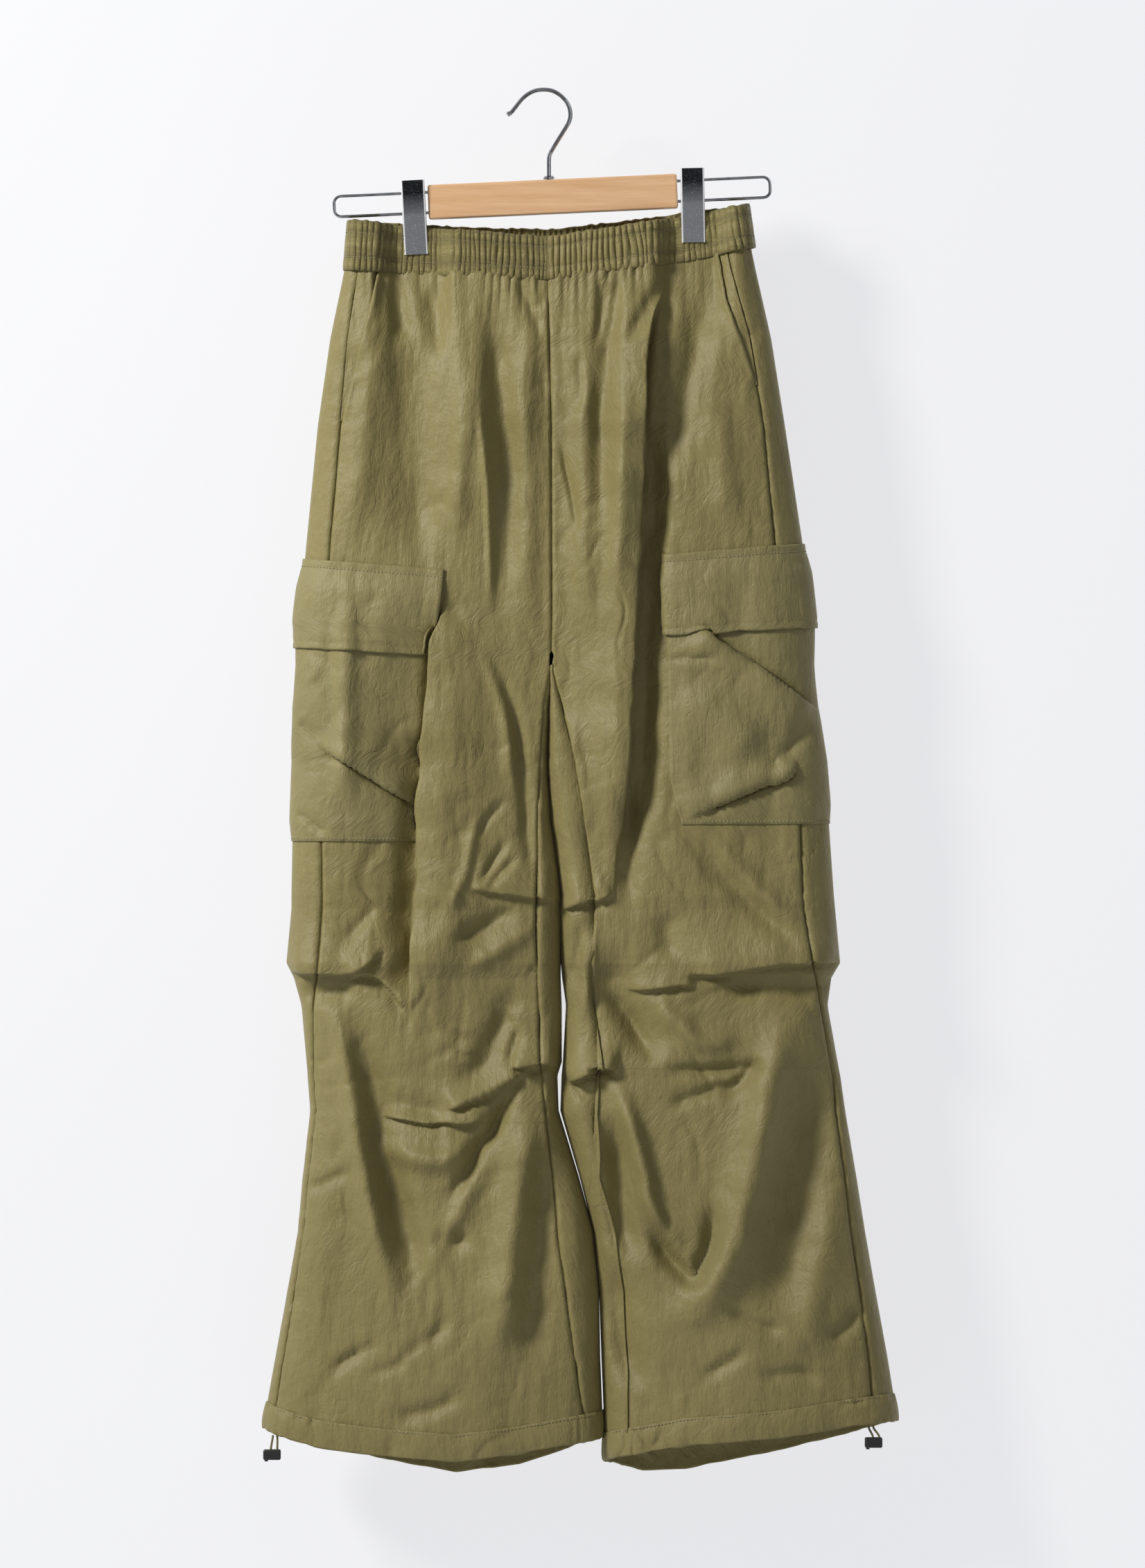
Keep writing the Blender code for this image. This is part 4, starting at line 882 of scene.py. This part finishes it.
olive = cloth_material("olive cloth", (0.252, 0.213, 0.084), (0.203, 0.17, 0.064))
olive_patch = cloth_material("olive pocket cloth", (0.258, 0.222, 0.095), (0.212, 0.181, 0.073))
print("materials", olive.name, olive_patch.name)

# %% [markdown]
# ## Front and back of each leg
# The front runs from the centre seam or the inseam to the side seam, which lies on the front of
# the leg, a little inside its outline. The back runs from there round the outer fold. Below the
# crotch it also comes round the inner fold, so the inseam shows at the front too.


# %% Front panels
def seam_out(leg, height):
    """How far out from the inner fold the side seam lies."""
    return ring_sizes(leg, height)[0] - LEG[leg].at("seam_in", height)


def front_stops(leg, height):
    """Distances out from the inner fold: the inseam, both sides of the pleat's edge, the end."""
    start = np.where(height >= CROTCH, 0.0, LEG[leg].at("wrap", height))
    line = (PLEAT_LINE[leg].at("x", height) - LEG[leg].at("inner", height)) * SIDES[leg]
    return start, line - 9, line + 9, seam_out(leg, height) - SLANT[leg].at("gap", height)


def front_q(leg, counts):
    def q_of(height):
        stops = front_stops(leg, height)
        return front_place(leg, spread(height, stops, counts), height)
    return q_of


SLANT_FOOT = {"right": -262.0, "left": -234.0}
TUCK_LEVELS = {"right": (-643, -700, -775, -815), "left": (-645, -696, -712, -779)}
FRONT_COUNTS = {"right": (64, 26, 56), "left": (52, 26, 72)}
for leg, sign in SIDES.items():
    rows = levels(-140, HEM_STITCH - 4, 3.3, TUCK_LEVELS[leg])
    q, height = settle(leg, front_q(leg, FRONT_COUNTS[leg]), rows)
    points = cloth_point(leg, q, height)
    normals = outward(points, sign)
    slant = smooth_step((points[:, -1:, 2] - SLANT_FOOT[leg]) / 8)
    points = seam_dent(points, normals, ("start", "end"), 41)
    run = run_across(points)
    mouth = np.exp(-(((run[:, -1:] - run) / 4.0) ** 2)) * slant
    points += normals * (1.9 * mouth)[..., None]
    made = sheet(f"front_{leg}", points, olive, 0.7, flip=leg == "left",
                 uv_zero=FRONT_COUNTS[leg][0] + 13)
    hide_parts(f"front_panel_{leg}")
    width = float(run[:, -1].mean()) * 0.001
    print(made.name, points.shape, "mean width", round(width, 3))


# %% Back panels
BACK_COUNTS = (14, 18, 58, 16, 16)
for leg, sign in SIDES.items():
    def back_q(height, leg=leg):
        start = front_place(leg, seam_out(leg, height), height)
        wrap = np.where(height >= CROTCH, LEG[leg].at("inner_round", height),
                        LEG[leg].at("wrap", height))
        end = 6 + np.where(height >= CROTCH, 1.0, front_place(leg, wrap, height))
        return spread(height, (start, 3 + 0 * height, 4 + 0 * height, 5 + 0 * height,
                               6 + 0 * height, end), BACK_COUNTS)
    rows = levels(-140, HEM_STITCH - 4, 4.0, TUCK_LEVELS[leg])
    q, height = settle(leg, back_q, rows)
    points = cloth_point(leg, q, height)
    normals = outward(points, sign)
    centre = sum(BACK_COUNTS[:3])
    crotch_row = int(np.argmax(height[:, centre] < CROTCH - 0.6))
    missing = np.zeros((points.shape[0] - 1, points.shape[1] - 1), bool)
    missing[:crotch_row, centre:] = True
    points = seam_dent(points, normals, ("start", "end"), 43)
    above = points[:crotch_row]
    away = np.abs(np.arange(above.shape[1]) - centre) * 2.4
    above[..., 1] -= 1.0 * np.exp(-((away / 2.0) ** 2))
    made = sheet(f"back_{leg}", points, olive, 0.7, missing=missing, flip=leg == "left", uv_zero=30)
    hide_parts(f"back_panel_{leg}")
    steps = np.linalg.norm(np.diff(points, axis=1), axis=-1)
    width = (steps[:crotch_row, :centre].sum(axis=1).mean() * crotch_row
             + steps[crotch_row:].sum(axis=1).mean() * (len(points) - crotch_row)) / len(points)
    print(made.name, points.shape, "crotch row", crotch_row)

# %% [markdown]
# ## Hand pockets
# The front's edge is cut on a slant and stands a little open. Behind it is a facing that is sewn
# into the side seam.

# %% Pocket facings
for leg, sign in SIDES.items():
    def facing_q(height, leg=leg):
        end = seam_out(leg, height)
        start = end - SLANT[leg].at("gap", height) - 9
        return front_place(leg, spread(height, (start, end), (22,)), height)
    q, height = settle(leg, facing_q, levels(-139, SLANT_FOOT[leg], 3.0))
    points = cloth_point(leg, q, height)
    normals = outward(points, sign)
    share = np.linspace(1, 0, points.shape[1])[None, :, None]
    points -= normals * (2.6 * share ** 0.7 + 0.3)
    made = sheet(f"facing_{leg}", points, olive, 0.6, flip=leg == "left")
    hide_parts(f"pocket_facing_{leg}")

# %% [markdown]
# ## Thigh pockets
# A bag lies over the side seam and round the leg's outer fold, sewn down on three sides, and a
# flap hangs over its mouth. Both are the panel's own points, moved out, so they follow it.


# %% Pocket helper
def patch_points(leg, top, foot, step, lift, grow=0.0, counts=(46, 18, 14, 26)):
    """Points of a patch over the side seam, from its front edge round to the back."""
    def q_of(height):
        wide, _, _ = ring_sizes(leg, height)
        edge = (POCKET_EDGE[leg].at("x", height) - LEG[leg].at("inner", height)) * SIDES[leg] - grow
        stops = (front_place(leg, edge, height), front_place(leg, seam_out(leg, height), height),
                 3 + 0 * height, 4 + 0 * height,
                 back_place(leg, wide - POCKET_BACK - grow, height))
        return spread(height, stops, counts)
    q, height = settle(leg, q_of, levels(top, foot, step))
    points = cloth_point(leg, q, height)
    normals = outward(points, SIDES[leg])
    run = run_across(points)
    side = np.minimum(run, run[:, -1:] - run)
    down = (points[:1, :, 2] - points[..., 2])
    up = (points[..., 2] - points[-1:, :, 2])
    return points + normals * lift(side, down, up, run)[..., None], normals


# %% Bags and flaps
patches = {}
for leg, sign in SIDES.items():
    top, foot = FLAP[leg]

    def bag_lift(side, down, up, run):
        inside = smooth_step(side / 16) * smooth_step(up / 18)
        puff = 2.6 * inside * (0.6 + 0.4 * wander(run / 33, up / 38, 51))
        pucker = 0.5 * wander(run / 6.5, up / 6.5, 52) * np.exp(-np.minimum(side, up) / 7)
        edge = 1.15 - 0.5 * np.exp(-((np.minimum(side, up) - 2.2) / 0.9) ** 2)
        return edge + puff + pucker * smooth_step(np.minimum(side, up) / 2.5)

    bag = patch_points(leg, top - BAG_BELOW, BAG_FOOT[leg], 2.4, bag_lift)
    made = sheet(f"bag_{leg}", bag[0], olive_patch, 0.8, flip=leg == "left")
    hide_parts(f"cargo_pocket_{leg}")

    def flap_lift(side, down, up, run):
        fall = smooth_step(down / 26)
        stitch = 0.6 * np.exp(-(((down - FLAP_STITCH) / 1.1) ** 2))
        hem = 0.7 * np.exp(-(((up - 5.5) / 1.0) ** 2)) + 0.7 * np.exp(-(((side - 5.5) / 1.0) ** 2))
        flare = (0.8 * wander(run / 24, up / 60, 53) + 0.35 * wander(run / 8, up / 30, 54)) * fall
        return 1.5 + 3.6 * fall + flare - stitch - hem * fall

    flap = patch_points(leg, top, foot, 1.6, flap_lift, grow=1.2)
    patches[leg] = (bag, flap)
    made = sheet(f"flap_{leg}", flap[0], olive_patch, 1.5, flip=leg == "left")
    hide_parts(f"cargo_flap_{leg}")
    print("pocket", leg, flap[0].shape)

# %% [markdown]
# ## Hems
# The leg ends in a casing for the drawcord: a ring of doubled cloth that bulges a little between
# its edge and its stitching, with small gathers all round.

# %% Hem casings
def ring_q(count):
    return np.concatenate([np.arange(count) / count * 6.0, [6.0]])


for leg, sign in SIDES.items():
    q = np.broadcast_to(ring_q(430), (17, 431))
    share = np.linspace(0, 1, 17)[:, None]
    height = np.full(q.shape, HEM_STITCH)
    for _ in range(4):
        out, _ = ring_place(leg, q % 6.0, height)
        x = LEG[leg].at("inner", height) + sign * out
        edge = hem_edge(leg, q, x)
        height = edge + HEM_DEEP * (1 - share)
    points = cloth_point(leg, q % 6.0, height)
    normals = outward(points, sign)
    normals[:, -1] = normals[:, 0]
    run = np.arange(431)[None, :] * 1.2
    gather = 0.75 * wander(run / 5.5, share * 1.4, 61) + 0.5 * wander(run / 14, share, 62)
    bulge = 1.0 * np.sin(np.clip((share - 0.06) / 0.94, 0, 1) * math.pi) ** 0.7
    lift = 0.5 + bulge + gather * (0.35 + 0.65 * np.abs(share - 0.5) * 2)
    lift[:, -1] = lift[:, 0]
    points = points + normals * lift[..., None]
    points[-1, :, 2] += 0.6 * wander(run[0] / 6, 0 * run[0], 63)
    points[:, -1] = points[:, 0]
    made = sheet(f"hem_{leg}", points, olive, 1.7, ring=True, flip=leg == "left")
    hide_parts(f"hem_casing_{leg}")
    around = float(run_across(points)[:, -1].mean())
    print(made.name, "around", round(around))

# %% [markdown]
# ## Waistband
# An elastic inside the band gathers the cloth into close upright pleats. Two rows of stitching
# run round it and press the pleats flat, so they swell in the three channels between.

# %% Waistband
BAND_COLUMNS, BAND_ROWS, STITCH_SHARES = 280, 25, (0.25, 0.76)
across_half = np.linspace(0, 1, BAND_COLUMNS, endpoint=False)
across = np.concatenate([*(BAND_HALF[leg] * part for leg in ("left", "right")
                           for part in (across_half, 1 - across_half)), [0.0]])
facing = np.concatenate([np.repeat([-1.0, 1.0, 1.0, -1.0], BAND_COLUMNS), [-1.0]])
rows = []
run = np.arange(len(across)) * 0.577
for share in np.linspace(0, 1, BAND_ROWS):
    top_half = np.where(across < 0, -BAND_HALF["right"], BAND_HALF["left"])
    half = top_half + (1 - share) * np.where(across < 0, 3.0, 5.0)
    x = across * half / top_half
    front_top, back_top = WAIST.at("top_front", x), WAIST.at("top_back", x)
    top = np.where(facing < 0, front_top, back_top)
    turn = smooth_step((half - np.abs(x)) / 12)
    top = top * turn + (front_top + back_top) / 2 * (1 - turn)
    seam = WAIST.at("seam", x)
    height = (seam + (top - seam) * share + 0.7 * wander(run / 4, 0 * run, 70) * (share > 0.9)
              - 1.2 * (1 - share) ** 6)
    to_edge = np.clip((half - np.abs(x)) / 14.0, 0, 1)
    rounded = np.sqrt(np.maximum(1 - (1 - to_edge) ** 2, 0))
    depth = 15.0 * rounded * pinch(x, np.full_like(x, -120.0))
    rows.append(np.stack([x, facing * depth, height], axis=-1))
band = np.array(rows)
side = np.roll(band[:, :-1], -3, axis=1) - np.roll(band[:, :-1], 3, axis=1)
normal = np.stack([-side[..., 1], side[..., 0], 0 * side[..., 0]], axis=-1)
normal /= np.linalg.norm(normal, axis=-1, keepdims=True)
normal = np.concatenate([normal, normal[:, :1]], axis=1)
if normal[0, 0, 1] > 0:
    normal = -normal
shares = np.linspace(0, 1, BAND_ROWS)[:, None]
loop, run = float(run[-1]), run[None, :]
phase = run + 2.4 * wander(run / 12, shares * 0.7, 71) + 0.8 * wander(run / 4, shares * 2.2, 75)
channels = np.abs(np.sin(np.interp(shares, [0, *STITCH_SHARES, 1], [0, 1, 2, 3]) * math.pi)) ** 0.6
free = 0.5 + 0.6 * channels
pinched = 0.7 + 0.3 * np.clip((np.abs(band[..., 1]) - 2.5) / 6, 0, 1)
crest = np.abs(np.sin(phase * math.pi / 4.6)) ** 0.6 - 0.68
size = 0.85 + 0.6 * wander(run / 5.0, shares * 1.6, 72)
pleats = (2.8 * crest * size + 0.45 * wander(run / 2.2, shares * 3.0, 74)) * free * pinched
swell = 1.4 * channels * pinched
fade = np.clip(np.minimum(run, loop - run) / 6, 0, 1)
ends = 1 - 0.7 * normal[..., 0] ** 2
lift = (pleats * fade + swell) * ends + 0.3
band = band + normal * lift[..., None]
band[:, -1] = band[:, 0]
made = sheet("waistband_cloth", band[::-1], olive, 1.6, ring=True, flip=False)
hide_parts("waistband")
print("waistband", band.shape)

# %% [markdown]
# ## Stitching
# Thread is what tells sewn cloth from moulded cloth. Each stitch is one small bead, joined with
# the others of its piece into one mesh.


# %% Stitch helper
thread_graph = Graph("olive thread")
thread_at = thread_graph.node("ShaderNodeTexCoord", out=3)
twist = thread_graph.noise(thread_graph.stretched(thread_at, (2500.0, 2500.0, 2500.0)), 1.0, 1.0)
thread_graph.set(Base_Color=thread_graph.mix(twist, (0.2, 0.175, 0.085), (0.33, 0.3, 0.16)),
                 Roughness=0.55, Normal=thread_graph.bump(twist, 0.0001))


def stitches(name, lines, pitch=3.0, long=2.1, thick=0.42):
    """Beads along lines of points and normals, in millimetres."""
    bm = bmesh.new()
    for points, normals in lines:
        steps = np.linalg.norm(np.diff(points, axis=0), axis=1)
        run = np.concatenate([[0], np.cumsum(steps)])
        for at in np.arange(pitch / 2, run[-1], pitch):
            a = np.array([np.interp(at - long / 2, run, points[:, k]) for k in range(3)])
            b = np.array([np.interp(at + long / 2, run, points[:, k]) for k in range(3)])
            n = np.array([np.interp(at, run, normals[:, k]) for k in range(3)])
            ahead = Vector(b - a)
            if ahead.length < 0.3:
                continue
            turn = ahead.to_track_quat("Z", "Y").to_matrix().to_4x4()
            size = Matrix.Diagonal((thick * 0.001, thick * 0.001, ahead.length * 0.0006, 1))
            centre = placed((a + b) / 2 + n * 0.12)
            bmesh.ops.create_icosphere(bm, subdivisions=1, radius=1.0,
                                       matrix=Matrix.Translation(centre) @ turn @ size)
    mesh = bpy.data.meshes.new(name)
    bm.to_mesh(mesh)
    bm.free()
    mesh.shade_smooth()
    made = new_object(name, mesh)
    mesh.materials.append(thread_graph.material)
    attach(made, "root")
    print(name, len(mesh.polygons), "faces")
    return made


# %% Stitches on the pockets
def line_across(points, normals, depth_mm, from_top):
    """The line across a grid at a depth below its top or above its foot."""
    z = points[..., 2]
    gap = z[:1] - z if from_top else z - z[-1:]
    order = slice(None) if from_top else slice(None, None, -1)
    made, facing = [], []
    for column in range(points.shape[1]):
        g = gap[order, column]
        made.append([np.interp(depth_mm, g, points[order, column, k]) for k in range(3)])
        facing.append([np.interp(depth_mm, g, normals[order, column, k]) for k in range(3)])
    return np.array(made), np.array(facing)


def line_down(points, normals, inset_mm):
    """The line down a grid a little inside its last column."""
    grid, facing = points[:, ::-1], normals[:, ::-1]
    run = run_across(grid)
    made = [[np.interp(inset_mm, r, p[:, k]) for k in range(3)] for r, p in zip(run, grid)]
    n = [[np.interp(inset_mm, r, p[:, k]) for k in range(3)] for r, p in zip(run, facing)]
    return np.array(made), np.array(n)


for leg in SIDES:
    bag, flap = patches[leg]
    lines = [line_across(*bag, 2.2, False), line_down(*bag, 2.0)]
    lines = [(p + n * 0.45, n) for p, n in lines]
    p, n = line_across(*flap, FLAP_STITCH, True)
    lines.append((p + n * 0.8, n))
    stitches(f"pocket_stitches_{leg}", lines)

# %% Stitches on the waistband and hems
band_lines = []
for share in STITCH_SHARES:
    k = int(round(share * (BAND_ROWS - 1)))
    band_lines.append((band[k] + normal[k] * 0.85, normal[k]))
stitches("waist_stitches", band_lines, pitch=2.7, long=1.9)
for leg, sign in SIDES.items():
    q = np.broadcast_to(ring_q(430), (3, 431))
    height = np.full(q.shape, HEM_STITCH)
    for _ in range(4):
        out, _ = ring_place(leg, q % 6.0, height)
        x = LEG[leg].at("inner", height) + sign * out
        height = hem_edge(leg, q, x) + HEM_DEEP + np.array([[1.0], [-1.6], [-4.0]])
    points = cloth_point(leg, q % 6.0, height)
    normals = outward(points, sign)
    stitches(f"hem_stitches_{leg}", [(points[1] + normals[1] * 1.35, normals[1])])

# %% [markdown]
# ## Drawcords and cord locks
# A short loop of cord leaves each hem at its outer corner and turns back inside a small black
# cord lock. The cord is a round tube along its route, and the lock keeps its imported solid.

# %% Cord and lock finishes
cord_graph = Graph("olive cord")
cord_at = cord_graph.node("ShaderNodeTexCoord", out=3)
braid = cord_graph.node("ShaderNodeTexWave", {"wave_type": "BANDS", "bands_direction": "DIAGONAL"},
                        Vector=cord_at, Scale=420.0, Distortion=2.0)
cord_graph.set(Base_Color=cord_graph.mix(braid, (0.1, 0.088, 0.04), (0.24, 0.21, 0.105)),
               Roughness=0.8, Normal=cord_graph.bump(braid, 0.0002, 0.7))
lock_graph = Graph("moulded black plastic")
lock_at = lock_graph.node("ShaderNodeTexCoord", out=3)
pitted = lock_graph.noise(lock_at, 2600.0, 2.0)
lock_graph.set(Base_Color=lock_graph.mix(pitted, (0.012, 0.012, 0.013), (0.022, 0.022, 0.023)),
               Roughness=pitted * 0.2 + 0.32, Normal=lock_graph.bump(pitted, 0.00005, 0.6))

# %% Cords
CORD_EXIT = {"right": -216.8, "left": 257.3}
for leg in SIDES:
    low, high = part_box(f"toggle_{leg}")
    _, cord_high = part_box(f"drawcord_{leg}")
    y = (low.y + high.y) / 2
    middle = (low.x + high.x) / 2 + 0.0017
    exit_x = float(placed((CORD_EXIT[leg], 0, 0))[0])
    exit_z = cord_high.z - 0.0002
    mouth, turn = high.z, high.z - 0.0025
    out = 0.0025
    down = [(exit_x - 0.0016, exit_z), (exit_x - 0.0019, exit_z - 0.0023),
            (middle - out, mouth + 0.0015), (middle - out, turn + 0.001)]
    bend = [(middle - out * math.cos(k / 8 * math.pi), turn - out * math.sin(k / 8 * math.pi))
            for k in range(1, 8)]
    up = [(middle + out, turn + 0.001), (middle + out, mouth + 0.0015),
          (exit_x + 0.0019, exit_z - 0.0023), (exit_x + 0.0016, exit_z)]
    route = down + bend + up
    line = smooth_path(route, 4)
    data = bpy.data.curves.new(f"cord_{leg}", "CURVE")
    data.dimensions = "3D"
    spline = data.splines.new("POLY")
    spline.points.add(len(line) - 1)
    for knot, (px, pz) in zip(spline.points, line):
        knot.co = (px, y, pz, 1.0)
    data.bevel_depth, data.bevel_resolution, data.use_fill_caps = 0.0009, 3, True
    made = new_object(f"cord_{leg}", data)
    data.materials.append(cord_graph.material)
    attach(made, "root")
    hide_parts(f"drawcord_{leg}")
    parts = [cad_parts[f"toggle_{leg}"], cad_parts[f"toggle_button_{leg}"]]
    for part in parts:
        part.data.materials.clear()
        part.data.materials.append(lock_graph.material)

# %% [markdown]
# ## Hanger
# The bar is varnished wood with a straight grain, and the hook, wires and clips are chromed
# steel. Their imported solids have the right shapes, so only their finishes are new. The clips'
# front faces also carry a painted reflection of a dark room, lighter towards the top, and painted
# highlights along their side edges.

# %% Wood and chrome
wood = Graph("varnished beech")
wood_at = wood.node("ShaderNodeTexCoord", out=3)
flow = wood.noise(wood.stretched(wood_at, (9.0, 40.0, 160.0)), 1.0, 4.0, 0.6)
pores = wood.noise(wood.stretched(wood_at, (60.0, 500.0, 1500.0)), 1.0, 2.0)
grain = flow * 0.75 + pores * 0.25
wood.set(Base_Color=wood.mix(grain.clamped(0.35, 0.65), (0.64, 0.37, 0.185), (0.76, 0.49, 0.28)),
         Roughness=pores * 0.12 + 0.3, Normal=wood.bump(pores, 0.00005, 0.4),
         Coat_Weight=0.3, Coat_Roughness=0.15)


def chrome_finish(name, bright, dull, rough, speck):
    graph = Graph(name)
    at = graph.node("ShaderNodeTexCoord", out=3)
    haze = graph.noise(at, 160.0, 3.0)
    spots = graph.noise(at, 1500.0, 2.0).clamped(0.6, 0.72)
    graph.set(Base_Color=graph.mix(haze.clamped(0.3, 0.7), bright, dull), Metallic=1.0,
              Roughness=haze * 0.1 + (rough - 0.05) + spots * speck)
    return graph.material


def clip_chrome_painted_reflection(leg):
    """Chrome whose flat front face has a painted reflection of a dark room, lighter towards the
    top, between painted highlights along its side edges.
    """
    graph = Graph(f"clip chrome painted reflection {leg}")
    low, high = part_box(f"clip_front_{leg}")
    at = graph.node("ShaderNodeTexCoord", out=3)
    deep = graph.node("ShaderNodeSeparateXYZ", out=1, Vector=at)
    tall = graph.node("ShaderNodeSeparateXYZ", out=2, Vector=at)
    wide = graph.node("ShaderNodeSeparateXYZ", out=0, Vector=at)
    share = (tall + -low.z) * (1 / (high.z - low.z))
    lean = high.x - low.x - 0.0188
    across = wide + -(low.x + high.x) / 2 + (share + -0.5) * lean
    # Painted highlight: a bright, less metallic line along each side edge of the front face.
    painted_rim_highlight = across.math("ABSOLUTE", 0).clamped(0.0080, 0.0084)
    haze = graph.noise(at, 90.0, 3.0)
    spots = graph.noise(at, 1100.0, 2.0).clamped(0.6, 0.68)
    front = (deep * -1.0).clamped(-low.y - 0.0014, -low.y - 0.0006)
    # Painted reflection of a dark room: the front face is darker towards the bottom, lighter at the
    # top.
    tone = (share * 0.8 + haze * 0.5 + -0.3).clamped(0.1, 0.9)
    dark = graph.mix(tone, (0.016, 0.017, 0.019), (0.08, 0.082, 0.088))
    face = graph.mix(spots * 0.4, dark, (0.5, 0.51, 0.53))
    face = graph.mix(painted_rim_highlight, face, (0.86, 0.87, 0.89))
    # Only the front face gets the painted reflection and painted highlights; the rest is plain
    # chrome.
    graph.set(Base_Color=graph.mix(front, (0.8, 0.81, 0.83), face), Metallic=painted_rim_highlight * -0.8 + 1.0,
              Roughness=haze * 0.08 + 0.1 + spots * 0.2)
    return graph.material


chrome = chrome_finish("chrome", (0.5, 0.51, 0.53), (0.3, 0.31, 0.33), 0.1, 0.1)
clip_chrome = {leg: clip_chrome_painted_reflection(leg) for leg in SIDES}
for node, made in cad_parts.items():
    finish = None
    if node == "hanger_bar":
        finish = wood.material
    elif node.startswith("clip_front") or node.startswith("clip_back"):
        finish = clip_chrome["left" if node.endswith("left") else "right"]
    elif node.startswith(("hanger_", "hook_", "clip_pivot")):
        finish = chrome
    if finish:
        made.data.materials.clear()
        made.data.materials.append(finish)
